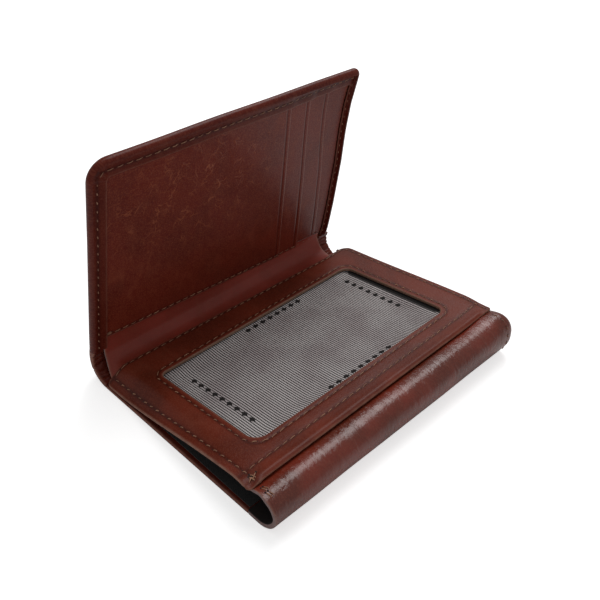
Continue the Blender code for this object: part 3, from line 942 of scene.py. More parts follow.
@dataclass
class Base:
    """The base: bottom hide, window panel, its cloths and seams, and the rolled front edge."""

    finishes: Finishes
    kit: SewingKit
    left: float = -53.0
    right: float = 54.9
    panel_back: float = 31.4
    roll_right: float = 54.2
    bottom_left: float = -52.5
    back: float = 34.0
    slit: float = -33.2
    fold: float = 33.9
    seam_behind: float = -31.35
    back_height: float = 6.0
    rise: float = 0.108
    cross_rise: float = 0.0088
    panel_wall: float = 1.1
    roll_wall: float = 1.0
    hide: float = 0.9
    hem: float = 1.45
    window: tuple = (-41.2, 43.4, -22.2, 21.2)
    window_corners: tuple = (4.4, 3.2, 3.6, 2.2)
    window_seam: float = 1.8
    droop: float = 4.2
    shoulder_start: float = 51.9
    shoulder_reach: float = 2.35
    shoulder_drop: float = 0.9
    crest: tuple = (
        (-42.2, 7.2), (-41.95, 9.0), (-41.1, 10.6), (-39.6, 11.8), (-37.6, 12.4), (-35.4, 12.3),
        (-33.2, 11.75), (-31.0, 11.1), (-28.6, 10.4),
    )
    rib_pitch: float = 0.84
    rib_height: float = 0.26
    back_skew: float = 3.0
    skew_run: float = 98.0

    def panel_top(self, x: Array, y: Array) -> Array:
        """Height of the panel's top face: it slopes, droops at its left edge and rounds over at
        its right edge and along the slit."""
        depth = self.back - y
        height = self.back_height + self.rise * depth + self.cross_rise * x
        droop = self.droop * bell(depth - 10.0, 32.0) * ease((-45.5 - x) / 7.5)
        over = np.clip((x - self.right + 1.6) / 1.6, 0.0, 1.0)
        shoulder = 0.55 * (1.0 - np.sqrt(1.0 - 0.98 * over**2)) + 0.95 * self.corner(x, y)
        ahead = y - self.slit
        lip = 0.22 * bell(ahead - 1.3, 1.3) - 0.5 * bell(ahead, 0.7)
        puff = 0.10 * np.sin(x / 13.0 + 0.6) * np.sin(y / 9.0) + 0.55 * ease((x - 40.0) / 14.0)
        return height - droop - shoulder + lip * ease((50.5 - np.abs(x)) / 3.0) + puff

    def corner(self, x: Array, y: Array) -> Array:
        """How close a point is to the panel's front left corner, where it is pared down and sewn
        flat on the roll, from 0 to 1."""
        return ease((-49.6 - x) / 2.4) * ease((self.slit + 3.4 - y) / 2.8)

    def seam_pull(self, x: Array, y: Array) -> Array:
        """How close a point of the panel is to one of its seams, from 0 to 1."""
        left, right, front, back = self.window
        radius = 4.5
        grow = self.window_seam - radius
        across = np.maximum(left - grow - x, x - right - grow)
        along = np.maximum(front - grow - y, y - back - grow)
        outside = np.hypot(np.maximum(across, 0.0), np.maximum(along, 0.0)) - radius
        edge = np.minimum.reduce(
            [np.abs(x + 50.4), np.abs(x - 52.7), np.abs(y - 30.4), np.abs(y + 28.2)]
        )
        return np.maximum(bell(outside, 0.5), bell(edge, 0.5))

    def ring(self, radii: Sequence[float], box: Sequence[float]) -> Array:
        """A rounded box as a closed loop, with the same count of points on each side every time.

        Args:
            radii: corner radii: front left, front right, back right, back left.
            box: left, right, front and back.

        Returns:
            The loop's points, the first one repeated at the end.
        """
        left, right, front, back = box
        corners = (
            (left, front, 1, 1), (right, front, -1, 1), (right, back, -1, -1), (left, back, 1, -1),
        )
        loop = []
        counts = (110, 66, 110, 66)
        for k, (x, y, sx, sy) in enumerate(corners):
            radius = radii[k]
            center = (x + sx * radius, y + sy * radius)
            loop += arc(center, radius, 180.0 + 90.0 * k, 270.0 + 90.0 * k, 9)
            nx, ny, nsx, nsy = corners[(k + 1) % 4]
            start = loop[-1]
            step = radii[(k + 1) % 4]
            stop = (
                nx + (nsx * step if k in (0, 2) else 0.0),
                ny + (nsy * step if k in (1, 3) else 0.0),
            )
            for t in np.linspace(0.0, 1.0, counts[k] + 1)[1:-1]:
                loop.append(tuple(a + (b - a) * t for a, b in zip(start, stop)))
        loop.append(loop[0])
        return np.array(loop)

    def trim(self, x: Array, y: Array) -> Array:
        """The panel's front corners: the right one is pared away, the left one reaches further."""
        right = ease((x - 49.5) / 5.0) * ease((-22.0 - y) / 10.0)
        left = 0.5 * ease((-49.5 - x) / 3.0) * ease((-25.0 - y) / 7.0)
        return x - right - left

    def slant(self, x: Array) -> Array:
        """How much further back than its middle the panel's back edge lies at x."""
        return self.back_skew * (0.5 - x / self.skew_run)

    def skew(self, x: Array, y: Array) -> Array:
        """The panel's back edge runs a little slantwise: it lies further back at the left."""
        return y + self.slant(x) * ease((y - 22.5) / 8.0)

    def build_window_frame(self) -> None:
        """The sloping leather panel with its window, rounded over at the right end."""
        outer = self.ring((1.3, 0.9, 4.0, 2.2), (self.left, self.right, self.slit, self.panel_back))
        inner = self.ring(self.window_corners, self.window)
        shares = joined(
            np.linspace(0.0, 0.30, 9), np.linspace(0.30, 0.72, 7), np.linspace(0.72, 1.0, 10)
        )

        def flat(u: Array, v: Array) -> Array:
            index = u.astype(int)
            return outer[index] * (1.0 - v)[:, None] + inner[index] * v[:, None]

        def place(u: Array, v: Array) -> Array:
            x, y = flat(u, v).T
            z = self.panel_top(x, self.skew(x, y)) - 0.10 * self.seam_pull(x, y)
            return np.stack([self.trim(x, y), self.skew(x, y), z], axis=-1)

        def free(u: Array, v: Array) -> Array:
            gap = np.linalg.norm(outer[u.astype(int)] - inner[u.astype(int)], axis=1)
            return np.minimum(v, 1.0 - v) * gap

        finish = self.finishes
        panel = Sheet(
            "window_panel", np.arange(len(outer), dtype=float), shares, place, self.panel_wall,
            [finish.panel, finish.flesh, finish.cut], free=free, pattern=flat,
            # The seam mark paints shade into the stitched grooves round the window and along the panel's
            # edges.
            marks={"seam": lambda u, v: self.seam_pull(*flat(u, v).T)},
            thickness=lambda u, v: self.panel_wall - 0.72 * self.corner(*flat(u, v).T),
            thinnest=0.3,
            round_off=0.32, merge=True, edge_reach=0.9,
        ).build()
        self.dye_outer_rim(panel)
        settle(panel, Body.BASE, ["window_frame"])

    def dye_outer_rim(self, panel: Thing) -> None:
        """Give the panel's outer edges the face's finish; only the window keeps a raw edge."""
        left, right, front, back = self.window
        for polygon in panel.data.polygons:
            x, y = polygon.center.x / MM, polygon.center.y / MM
            inside = left - 2.0 < x < right + 2.0 and front - 2.0 < y < back + 2.0
            if polygon.material_index == 2 and not inside:
                polygon.material_index = 0

    def cloth_height(self, x: Array, y: Array) -> Array:
        """Middle of the window cloth: just under the panel, with soft buckles in the window."""
        left, right, front, back = self.window
        inside = ease((x - left) / 6.0) * ease((right - x) / 6.0)
        inside = inside * ease((y - front) / 5.0) * ease((back - y) / 5.0)
        waves = np.sin(x / 5.1 + y / 9.0) + 0.8 * np.sin(x / 8.3 - y / 6.1 + 1.7)
        sag = 0.34 + 0.35 * inside + 0.16 * inside * (waves + 1.9)
        return self.panel_top(x, y) - self.panel_wall - sag

    def build_window_cloth(self) -> None:
        """Ribbed cloth under the window; its ribs run from the front to the back, and its rib mark is
        darkened along the window's left and right edges as painted shadow of the frame.
        """
        left, right, front, back = self.window
        over = 3.6
        count = int((right - left + 2 * over) / self.rib_pitch)
        columns = left - over + np.arange(count * 4 + 1) * self.rib_pitch / 4.0
        rows = spaced(front - over, back + over, 1.3)

        def rib(u: Array, v: Array) -> Array:
            turn = np.rint((u - columns[0]) * 4.0 / self.rib_pitch).astype(int) % 4
            return np.array([0.0, 0.55, 1.0, 0.55])[turn]

        def place(u: Array, v: Array) -> Array:
            lift = rib(u, v) * self.rib_height
            return np.stack([u, v, self.cloth_height(u, v) + lift - self.rib_height / 2], axis=-1)

        def shade(u: Array, v: Array) -> Array:
            inside = ease((v - front) / 3.0) * ease((back - v) / 3.0)
            # Painted shadow: dark strips under the frame's left and right edges.
            dark = np.maximum(ease((left + 1.3 - u) / 0.7), ease((u - right + 1.7) / 0.7))
            return rib(u, v) * (1.0 - dark * inside)

        cloth = Sheet(
            "window_cloth", columns, rows, place, 0.12, [self.finishes.window], marks={"rib": shade}
        ).build()
        settle(cloth, Body.BASE, ["window_mesh"])

    def build_pocket_lining(self) -> None:
        """Cloth under the card space; it is also the roof of the note compartment."""

        def place(u: Array, v: Array) -> Array:
            z = self.panel_top(np.clip(u, -60.0, 50.0), np.clip(v, -28.0, 40.0))
            over = ease((-v - 24.0) / 4.0) * 0.3
            near_edge = ease((-u - 40.0) / 8.0) * 0.75
            z = np.maximum(z - self.panel_wall - 1.85 - over + near_edge, 1.55)
            return np.stack([u, v, z], axis=-1)

        rows = spaced(-27.5, 31.0, 1.6)
        columns = spaced(-49.5, 50.0, 1.6)
        looks = [self.finishes.black_cloth]
        lining = Sheet("window_pocket_lining", columns, rows, place, 0.2, looks).build()
        settle(lining, Body.BASE, ["id_pocket_lining"])

    def build_base_cover(self) -> None:
        """Bottom hide; its left edge is turned over as a thicker hem."""
        columns = joined(
            spaced(self.bottom_left, -50.0, 0.35), spaced(-50.0, -44.0, 0.5),
            spaced(-44.0, 53.4, 1.2),
        )
        rows = spaced(self.seam_behind, self.fold, 1.0)

        def place(u: Array, v: Array) -> Array:
            turned = np.interp(v, [self.seam_behind, self.fold], [0.15, -0.9])
            return np.stack([u + turned * ease((-40.0 - u) / 12.0), v, np.zeros_like(u)], axis=-1)

        def hem(u: Array, v: Array) -> Array:
            turned = ease((-46.2 - u) / 0.5) * ease((24.5 - v) / 6.0)
            pleats = 0.06 * np.sin(v * 1.3) * turned
            return self.hide + (self.hem - self.hide - 0.07) * turned + pleats

        finish = self.finishes
        cover = Sheet(
            "bottom_hide", columns, rows, place, self.hem, [finish.outer], side=Side.OVER,
            free=lambda u, v: np.minimum(u - self.bottom_left, 53.4 - u), thickness=hem,
            thinnest=0.8,
            round_off=0.34,
        ).build()
        settle(cover, Body.BASE, ["base_cover"])

    def build_base_lining(self) -> None:
        """Black cloth on the bottom hide, inside the note compartment."""
        columns = joined(spaced(-51.3, -44.0, 0.6), spaced(-44.0, 51.0, 1.6))
        rows = spaced(-31.0, 32.6, 1.6)

        def place(u: Array, v: Array) -> Array:
            waves = 0.07 * (np.sin(u / 6.0) * np.sin(v / 8.0) + 1.0)
            step = 0.42 * ease((-45.2 - u) / 1.0)
            return np.stack([u, v, 1.15 + waves + step], axis=-1)

        looks = [self.finishes.black_cloth]
        lining = Sheet("note_lining", columns, rows, place, 0.2, looks).build()
        settle(lining, Body.BASE, ["base_lining"])

    def roll_line(self) -> Polyline:
        """Section of the rolled front edge, in YZ, on its outer face, from the seam below."""
        points = [(self.seam_behind, 0.0), (-33.4, 0.0)]
        points += arc((-35.5, 6.7), 6.7, 270.0, 180.0, 36)
        points += [tuple(point) for point in smooth_line(self.crest).points]
        return Polyline(points)

    def roll_place(self, u: Array, v: Array) -> Array:
        """Points of the roll's outer face: u along the spine, v along the section."""
        line = self.roll_line()
        spots, heading = line.at(v), line.heading(v, 0.5)
        normal = np.stack([-heading[:, 1], heading[:, 0]], axis=-1)
        over = np.clip((u - self.shoulder_start) / self.shoulder_reach, 0.0, 1.0)
        inward = self.shoulder_drop * (1.0 - np.sqrt(1.0 - 0.98 * over**2))
        upper = ease((v - 13.0) / 5.0) * ease((-u - 46.0) / 5.0)
        ahead = (0.18 - 0.0048 * u) * ease(v / 5.0) * ease((28.0 - v) / 5.0)
        above = ease((v - 9.0) / 6.0)
        waves = 0.10 * np.sin(u / 9.0 + 0.4) + 0.06 * np.sin(u / 4.3 + v / 3.0)
        left_flare = 0.15 * ease((-47.0 - u) / 6.0) * ease((v - 12.0) / 5.0)
        shift = above * waves * ease((27.0 - v) / 5.0) + left_flare - inward
        spots = spots + normal * shift[:, None]
        z = np.maximum(spots[:, 1], inward * 0.6) * (1.0 + 0.001 * u)
        z += ease((u - 38.0) / 14.0) * ease((v - 13.0) / 8.0)
        near_left = ease((-u - 46.0) / 5.0)
        inward = 0.15 * (1.0 - upper) + 0.45 * ease((v - 21.0) / 4.0)
        x = u - 0.3 * upper + near_left * inward
        return np.stack([x, spots[:, 0] + ahead, z], axis=-1)

    def build_front_roll(self) -> None:
        """Hide rolled round the front edge and tucked in under the panel."""
        line = self.roll_line()
        columns = joined(
            spaced(self.bottom_left, -47.0, 0.5), spaced(-47.0, 50.0, 1.1),
            spaced(50.0, self.roll_right, 0.3),
        )
        rows = spaced(0.0, line.length, 0.6)

        def lip(u: Array, v: Array) -> Array:
            turned = ease((-46.6 - u) / 0.6) * ease((17.0 - v) / 7.0)
            return self.roll_wall + 0.5 * turned

        finish = self.finishes
        roll = Sheet(
            "rolled_front", columns, rows, self.roll_place, 1.5,
            [finish.roll, finish.flesh, finish.dyed_cut],
            free=lambda u, v: np.minimum(u - self.bottom_left, self.roll_right - u), thickness=lip,
            thinnest=0.8, round_off=0.30,
        ).build()
        settle(roll, Body.BASE, ["front_roll"])

    def build_end_wall(self) -> None:
        """Hem turned up at the right end; it closes the note compartment and the roll."""
        grown = 1.0 + 0.001 * 53.0
        rows = np.linspace(0.0, 1.0, 9)
        columns = joined(spaced(-41.0, -33.0, 0.5), spaced(-33.0, 33.2, 1.4))

        def limits(y: Array) -> tuple:
            angle_low = np.sqrt(np.maximum(6.7**2 - np.minimum(y + 35.5, 0.0) ** 2, 0.0))
            low = np.where(y < -35.5, 6.7 - angle_low, 0.0) * grown + 0.95
            crest_y, crest_z = np.array(self.crest).T
            under_roll = np.interp(y, crest_y, crest_z) * grown - 1.1
            panel = self.panel_top(np.full_like(y, 50.0), y) - self.panel_wall - 0.1
            high = np.where(y < self.slit - 0.5, under_roll, np.minimum(panel, 12.0))
            return low, np.maximum(high, low + 0.3)

        def place(u: Array, v: Array) -> Array:
            low, high = limits(u)
            bow = 0.35 * np.sin(v * math.pi)
            return np.stack([52.2 + bow, u, low + (high - low) * v], axis=-1)

        finish = self.finishes
        looks = [finish.outer, finish.flesh]
        wall = Sheet("right_end_wall", columns, rows, place, 0.8, looks).build()
        settle(wall, Body.BASE)

    def panel_line(self, knots: Sequence[Sequence[float]], lift: float = 0.0) -> Polyline:
        """A line on the panel's top face through these points of its plan."""
        plan = Polyline(knots)
        spots = plan.at(spaced(0.0, plan.length, 0.5))
        x, y = spots.T
        z = self.panel_top(x, self.skew(x, y)) - 0.10 * self.seam_pull(x, y) + lift
        return Polyline(np.stack([self.trim(x, y), self.skew(x, y), z], axis=-1))

    def panel_out(self, places: Array) -> Array:
        """Outward directions of the panel's top face."""
        x, y = places[:, 0], places[:, 1]
        step = 0.4
        slope_x = (self.panel_top(x + step, y) - self.panel_top(x - step, y)) / (2 * step)
        slope_y = (self.panel_top(x, y + step) - self.panel_top(x, y - step)) / (2 * step)
        normal = np.stack([-slope_x, -slope_y, np.ones_like(x)], axis=-1)
        return normal / np.linalg.norm(normal, axis=1, keepdims=True)

    def sew_panel(self) -> None:
        """Seams of the panel: its edges, the line behind the slit and the ring round the window."""
        side, far, back, front = -50.4, 52.7, 30.4, self.slit + 0.6
        edge = [(side, front), (side, back - 1.5)]
        edge += arc((side + 1.5, back - 1.5), 1.5, 180.0, 90.0, 6)
        edge += [(far - 2.8, back)] + arc((far - 2.8, back - 2.8), 2.8, 90.0, 0.0, 6)
        edge += [(far, front)]
        kit = self.kit
        run = [(self.panel_line(edge), self.panel_out)]
        kit.sew("panel_edge_stitches", run, Body.BASE, ["panel_edge_thread"])
        slit = self.panel_line([(side + 1.0, -28.2), (far - 1.2, -28.2)])
        kit.sew("slit_stitches", [(slit, self.panel_out)], Body.BASE, ["slit_thread"])
        left, right, low, high = self.window
        grow = self.window_seam
        box = (left - grow, right + grow, low - grow, high + grow)
        ring = self.ring(tuple(radius + grow for radius in self.window_corners), box)
        run = [(self.panel_line(ring), self.panel_out)]
        kit.sew("window_stitches", run, Body.BASE, ["window_thread"])

    def sew_roll(self) -> None:
        """Seam round the roll's right end, and the tack that locks the slit's left end."""
        length = self.roll_line().length
        along = spaced(9.5, length - 6.6, 0.4)
        u = np.full_like(along, 51.3)
        run = Polyline(self.roll_place(u, along))
        centre = np.array([0.0, -36.4, 7.6])

        def out(places: Array) -> Array:
            away = places - centre
            away[:, 0] = 0.0
            return away / np.linalg.norm(away, axis=1, keepdims=True)

        self.kit.sew("roll_end_stitches", [(run, out)], Body.BASE, ["roll_end_thread"])
        runs = []
        for x, start, stop in ((-50.6, 1.0, 3.2), (-50.0, 1.6, 3.4)):
            line = self.panel_line([(x, self.slit + start), (x, self.slit + stop)], 0.1)
            runs.append((line, self.panel_out))
        for x in (-50.6, -49.8):
            spots = spaced(length - 10.6, length - 6.4, 0.4)
            runs.append((Polyline(self.roll_place(np.full_like(spots, x), spots)), out))
        line = self.panel_line([(-51.6, self.slit + 2.0), (-48.9, self.slit + 2.3)], 0.2)
        runs.append((line, self.panel_out))
        tack = Stitch(pitch=1.9, length=2.2, rise=0.14, slant=20.0)
        self.kit.sew("slit_tack", runs, Body.BASE, style=tack)

    def build(self) -> None:
        """Build every piece of the base."""
        self.build_window_frame()
        self.build_window_cloth()
        self.build_pocket_lining()
        self.build_base_cover()
        self.build_base_lining()
        self.build_front_roll()
        self.build_end_wall()
        self.sew_panel()
        self.sew_roll()


# --- Leaf ---


@dataclass
class Leaf:
    """The leaf: outer hide with its turned hem, a board, linings and three stepped pockets."""

    finishes: Finishes
    kit: SewingKit
    hinge: tuple
    rest_deg: float = 100.0
    half: float = 52.5
    low: float = 0.4
    height: float = 69.0
    corner_left: float = 6.5
    corner_right: float = 2.5
    hide: float = 0.9
    hem_ply: float = 0.5
    fold_radius: float = 1.26
    hem_width: float = 5.2
    stitch_margin: float = 3.0
    left_closer: float = 0.8
    mouth_margin: float = 25.5
    mouth_step: float = 9.4
    mouth_slant: float = 7.0
    facing: float = 16.0
    hem_level: float = 2.52
    levels: dict = field(
        default_factory=lambda: {
            "stiffener": (0.52, 0.25), "lining": (0.84, 0.12), "backing": (1.03, 0.24),
            "rear": (1.34, 0.24), "middle": (1.65, 0.24), "front": (1.96, 0.24),
        }
    )

    def axes(self) -> tuple:
        """The leaf's up and inward directions at rest."""
        turn = math.radians(self.rest_deg)
        up = np.array([0.0, math.cos(turn), math.sin(turn)])
        inward = np.array([0.0, -math.sin(turn), math.cos(turn)])
        return up, inward

    def warp(self, x: Array, y: Array) -> tuple:
        """How the soft leaf strays from its flat plane: sideways, upwards and inwards."""
        share = np.clip(y / self.height, 0.0, 1.1)
        right = np.interp(y, [0, 3, 15, 33, 47, 57, 69], [0.0, 0.6, 0.8, 0.3, -1.2, -1.6, -0.6])
        left = np.interp(y, [0, 12, 43, 69], [-0.7, -0.6, -0.45, -0.6])
        side = right * ease((x - 18.0) / 34.0) + left * ease((-x - 30.0) / 22.0)
        rise = (2.7 - 0.9 * ease((x + 52.0) / 104.0)) * share
        lean = (0.30 - 0.0150 * x) * share**1.5
        waves = 0.22 * np.sin(x / 16.0 + 1.0) * np.sin(y / 19.0) + 0.10 * np.sin(x / 7.0 + y / 11.0)
        return side, rise, lean + waves * ease(y / 8.0)

    def put(self, x: Array, y: Array, z: Array) -> Array:
        """Points of the leaf in space: x along the spine, y up the leaf, z inwards."""
        up, inward = self.axes()
        side, rise, lean = self.warp(x, y)
        spots = np.array(self.hinge) + np.outer(y + rise, up) + np.outer(z + lean, inward)
        spots[:, 0] += x + side
        return spots

    def loop(self, inset: float, steps: Sequence[int] = (44, 12, 66, 8, 44)) -> Array:
        """The leaf's outline at an inset: up the left side, over the top and down the right."""
        left, right, top = -self.half + inset, self.half - inset, self.height - inset
        radius_l = min(max(self.corner_left - inset, 0.35 + 0.04 * inset), self.half - inset)
        radius_r = min(max(self.corner_right - inset, 0.35 + 0.04 * inset), self.half - inset)
        points = [(left, y) for y in np.linspace(self.low, top - radius_l, steps[0])]
        points += arc((left + radius_l, top - radius_l), radius_l, 180.0, 90.0, steps[1])[1:]
        points += [(x, top) for x in np.linspace(left + radius_l, right - radius_r, steps[2])][1:]
        points += arc((right - radius_r, top - radius_r), radius_r, 90.0, 0.0, steps[3])[1:]
        points += [(right, y) for y in np.linspace(top - radius_r, self.low, steps[4])][1:]
        return np.array(points)

    def build_cover(self) -> None:
        """Outer hide: it lies behind the pockets, folds round three edges and ends in a hem."""
        start = self.hide / 2 + self.fold_radius
        profile = [(inset, self.hem_level) for inset in np.linspace(self.hem_width, start, 7)]
        for turn in np.linspace(180.0, 0.0, 13)[1:-1]:
            angle = math.radians(turn)
            inset = start - self.fold_radius * math.sin(angle)
            profile.append((inset, self.fold_radius * (1.0 - math.cos(angle))))
        flat = joined(np.linspace(start, 6.0, 5), np.linspace(6.0, self.half, 41))
        profile += [(inset, 0.0) for inset in flat]
        loops = [self.loop(inset) for inset, _ in profile]
        walk = Polyline([(a, b) for a, b in profile])

        def flat_spot(u: Array, v: Array) -> Array:
            i, j = u.astype(int), v.astype(int)
            return np.stack([loops[b][a] for a, b in zip(i, j)])

        def place(u: Array, v: Array) -> Array:
            x, y = flat_spot(u, v).T
            z = np.array([profile[b][1] for b in v.astype(int)])
            corner = np.hypot(x + self.half - self.corner_left, y - self.height + self.corner_left)
            angle = np.arctan2(y - self.height + self.corner_left, x + self.half - self.corner_left)
            inside = ease((-x - 44.0) / 3.0) * ease((y - 60.0) / 3.0) * (z > 1.2)
            z = z + 0.16 * np.sin(angle * 13.0) * inside * ease(corner / 5.0)
            inset = np.minimum.reduce([x + self.half, self.half - x, self.height - y])
            pull = bell(inset - 3.0, 0.8)
            z = z - 0.10 * pull * (z > 2.0)
            return self.put(*self.settle_hem(x, y, z, v < 6.5))

        def flat_hide(u: Array, v: Array) -> Array:
            spots = flat_spot(u, v)
            turned = np.array([walk.marks[b] for b in v.astype(int)])
            return spots + np.stack([turned * 0.05, np.where(turned < 8.0, 70.0, 0.0)], axis=-1)

        def wall(u: Array, v: Array) -> Array:
            on_hem = ease((9.0 - v) / 5.0)
            return self.hide - (self.hide - self.hem_ply) * on_hem

        finish = self.finishes
        cover = Sheet(
            "leaf_hide", np.arange(len(loops[0]), dtype=float)[::-1].copy(),
            np.arange(len(profile), dtype=float), place, self.hide, [finish.outer], side=Side.MIDDLE,
            free=lambda u, v: v * 0.6, pattern=flat_hide,
            # The seam mark paints shade along the hem's stitch line.
            marks={"seam": lambda u, v: self.hem_seam(*flat_spot(u, v).T) * (v < 9)}, thickness=wall,
            thinnest=0.45, round_off=0.12, merge=True, edge_reach=0.8,
        ).build()
        settle(cover, Body.LEAF, ["leaf_cover"])

    def settle_hem(self, x: Array, y: Array, z: Array, hem: Array) -> tuple:
        """Press the hem down on the plies, which are fewer towards the right, and narrow it there.

        Args:
            x, y, z: points of the leaf.
            hem: which of the points lie on the turned-over hem.

        Returns:
            The points' new x, y and z.
        """
        turn = self.hide / 2 + self.fold_radius
        at_right = ease((x - 38.0) / 8.0)
        moved = x + 0.62 * np.clip(self.half - x - turn, 0.0, 4.0) * at_right
        sunk = np.zeros_like(x)
        for step in range(3):
            sunk += 0.31 * ease((x - self.mouth(step, y) - 0.4) / 1.2)
        pressed = np.where(hem & (z > 0.0), 1.0 - sunk / 2.52, 1.0)
        return np.where(hem, moved, x), y, z * pressed

    def foot(self, x: Array) -> Array:
        """Height of the seam along the pockets' foot, which climbs towards the left."""
        return 0.9 + 2.25 * (1.0 - x / 47.5)

    def hem_seam(self, x: Array, y: Array) -> Array:
        """How close a point is to the seam of the hem, from 0 to 1."""
        inset = np.minimum.reduce([x + self.half + self.left_closer, self.half - x, self.height - y])
        return bell(inset - self.stitch_margin, 0.6)

    def mouth(self, step: int, y: Array) -> Array:
        """Where a pocket's mouth is at a height up the leaf; step 0 is the front pocket."""
        start = self.half - self.mouth_margin + step * self.mouth_step
        return start - self.mouth_slant * y / self.height

    def vein_highlight_mask(self, x: Array, y: Array) -> Array:
        """Where the veins show: mostly across the upper middle of the front pocket, where their light colour
        is partly a painted highlight.
        """
        middle = bell(x + 12.0 + 0.1 * y, 25.0) * bell(y - 48.0, 15.0)
        return np.clip(1.5 * middle + 0.10, 0.0, 1.0)

    def build_ply(
        self, name: str, node: str, level: str, left: Callable[[Array], Array],
        right: Callable[[Array], Array], materials: list, slot: Slot, bottom: float = 0.4,
        mouth: bool = False,
    ) -> Thing:
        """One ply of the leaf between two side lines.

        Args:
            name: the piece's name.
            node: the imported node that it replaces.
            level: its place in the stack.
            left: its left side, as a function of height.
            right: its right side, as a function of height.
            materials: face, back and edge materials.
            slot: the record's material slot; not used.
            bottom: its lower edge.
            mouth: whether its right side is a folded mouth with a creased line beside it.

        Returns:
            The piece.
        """
        base, wall = self.levels[level]
        top = self.height - 3.5
        crease = 1.7
        tail = np.linspace(0, 1, 50)
        if mouth:
            tail = joined(np.linspace(0.0, 0.9, 60), np.linspace(0.9, 1.0, 26))

        def flat_spot(u: Array, v: Array) -> Array:
            begin, end = left(v), right(v)
            x = begin + (end - begin) * u
            lift = (self.foot(x) - 0.9) * (level == "front") * np.clip(1.0 - v / 30.0, 0.0, 1.0)
            return np.stack([x, v + lift], axis=-1)

        def place(u: Array, v: Array) -> Array:
            x, y = flat_spot(u, v).T
            z = np.full_like(x, base + wall)
            if mouth:
                gap = right(v) - x
                z = z - 0.10 * bell(gap - crease, 0.28) + 0.05 * bell(gap - 0.6, 0.5)
            if level == "front":
                middle = ease((y - 4.0) / 10.0) * ease((58.0 - y) / 10.0)
                z = z + 0.10 * middle * ease((right(v) - x - 3.0) / 14.0)
            return self.put(x, y, z)

        def free(u: Array, v: Array) -> Array:
            x = flat_spot(u, v)[:, 0]
            return np.minimum(right(v) - x, (v - bottom) * (1.0 if bottom < 0 else 9.0))

        # Painted shade: a dark line in the crease beside the mouth and, on the front pocket, along the foot
        # seam.
        def line(u: Array, v: Array) -> Array:
            gap = right(v) - flat_spot(u, v)[:, 0]
            low_seam = bell(v - 0.9, 0.6) * (bottom < 0)
            return np.maximum(0.8 * bell(gap - crease, 0.3), low_seam)

        marks = {}
        if mouth:
            marks["seam"] = line
            marks["veins"] = lambda u, v: self.vein_highlight_mask(*flat_spot(u, v).T)
        ply = Sheet(
            name, tail, joined(spaced(bottom, bottom + 8.0, 0.7), spaced(bottom + 8.0, top, 1.1)),
            place, wall, materials, free=free if mouth else None, pattern=flat_spot, marks=marks,
            round_off=0.09, edge_reach=0.55,
        ).build()
        return settle(ply, Body.LEAF, [node])

    def build_plies(self) -> None:
        """Board, linings, backing and the stepped pockets."""
        finish = self.finishes
        edge = self.half - 3.4
        leather = [finish.pocket, finish.flesh, finish.pocket]

        def left_side(y: Array) -> Array:
            return np.full_like(y, -edge)

        def right_side(y: Array) -> Array:
            return np.full_like(y, edge)

        sides = (left_side, right_side)
        self.build_ply(
            "leaf_board", "leaf_stiffener", "stiffener", *sides, [finish.board], Slot.BOARD
        )
        cloth = [finish.brown_cloth]
        lining = self.build_ply(
            "leaf_inner_lining", "leaf_lining", "lining", *sides, cloth, Slot.LINING
        )
        self.build_ply(
            "pocket_back_hide", "pocket_backing", "backing", *sides, leather, Slot.POCKET
        )
        for level, step in (("rear", 2), ("middle", 1)):
            facing_left = lambda y, s=step: self.mouth(s, y) - self.facing
            facing_right = lambda y, s=step: self.mouth(s, y)
            tail_right = lambda y, s=step: self.mouth(s, y) - self.facing - 0.3
            self.build_ply(
                f"{level}_pocket", f"card_pocket_{level}", level, facing_left, facing_right, leather,
                Slot.POCKET, mouth=True,
            )
            tail = self.build_ply(
                f"{level}_pocket_cloth", f"{level}_pocket_tail", level, left_side, tail_right, cloth,
                Slot.LINING, bottom=8.5,
            )
        front_right = lambda y: self.mouth(0, y)
        self.build_ply(
            "front_pocket", "card_pocket_front", "front", left_side, front_right, leather,
            Slot.POCKET, bottom=-0.1, mouth=True,
        )

    def leaf_line(self, knots: Sequence[Sequence[float]], z: float, hem: bool = False) -> Polyline:
        """A line on the leaf through these points of its plane, at a level."""
        plan = Polyline(knots)
        x, y = plan.at(spaced(0.0, plan.length, 0.5)).T
        spots = self.settle_hem(x, y, np.full_like(x, z), np.full(len(x), hem))
        return Polyline(self.put(*spots))

    def sew(self) -> None:
        """Seam of the hem, which shows on both faces, and the seam along the pockets' foot."""
        _, inward = self.axes()
        margin = self.stitch_margin
        left, right = -self.half + margin - self.left_closer, self.half - margin
        top = self.height - margin
        turn = self.corner_left - margin
        edge = [(right, 0.8), (right, top - 0.4), (right - 0.4, top)]
        edge += [(left + turn, top)] + arc((left + turn, top - turn), turn, 90.0, 180.0, 6)
        edge += [(left, 0.8)]
        inside = self.leaf_line(edge, self.hem_level + self.hem_ply / 2 - 0.10, True)
        outside = self.leaf_line(edge, -self.hide / 2)
        facing = lambda places: np.tile(inward, (len(places), 1))
        behind = lambda places: np.tile(-inward, (len(places), 1))
        self.kit.sew("hem_stitches", [(inside, facing)], Body.LEAF, ["leaf_edge_thread"])
        self.kit.sew("hem_stitches_outside", [(outside, behind)], Body.LEAF)
        base, wall = self.levels["front"]
        end = self.half - self.hem_width + 0.4
        across = spaced(-end, end, 1.0)
        knots = np.stack([across, self.foot(across)], axis=-1)
        plan = self.leaf_line(knots, base + wall)
        for step in range(3):
            beyond = plan.points[:, 0] > self.mouth(step, np.array([1.0]))[0] + 0.4
            plan.points[beyond] -= 0.31 * inward
        runs = [(Polyline(plan.points), facing)]
        low = float(self.foot(np.array([-end]))[0])
        for lift, reach in ((0.6, 3.0), (0.95, 2.2)):
            tack = [(-end - 0.4, low + lift), (-end - 0.4 + reach, low + lift - 0.3)]
            runs.append((self.leaf_line(tack, base + wall + 0.15), facing))
        self.kit.sew("pocket_foot_stitches", runs, Body.LEAF, ["pocket_thread"])

    def build(self) -> None:
        """Build every piece of the leaf."""
        self.build_cover()
        self.build_plies()
        self.sew()


# --- Spine ---


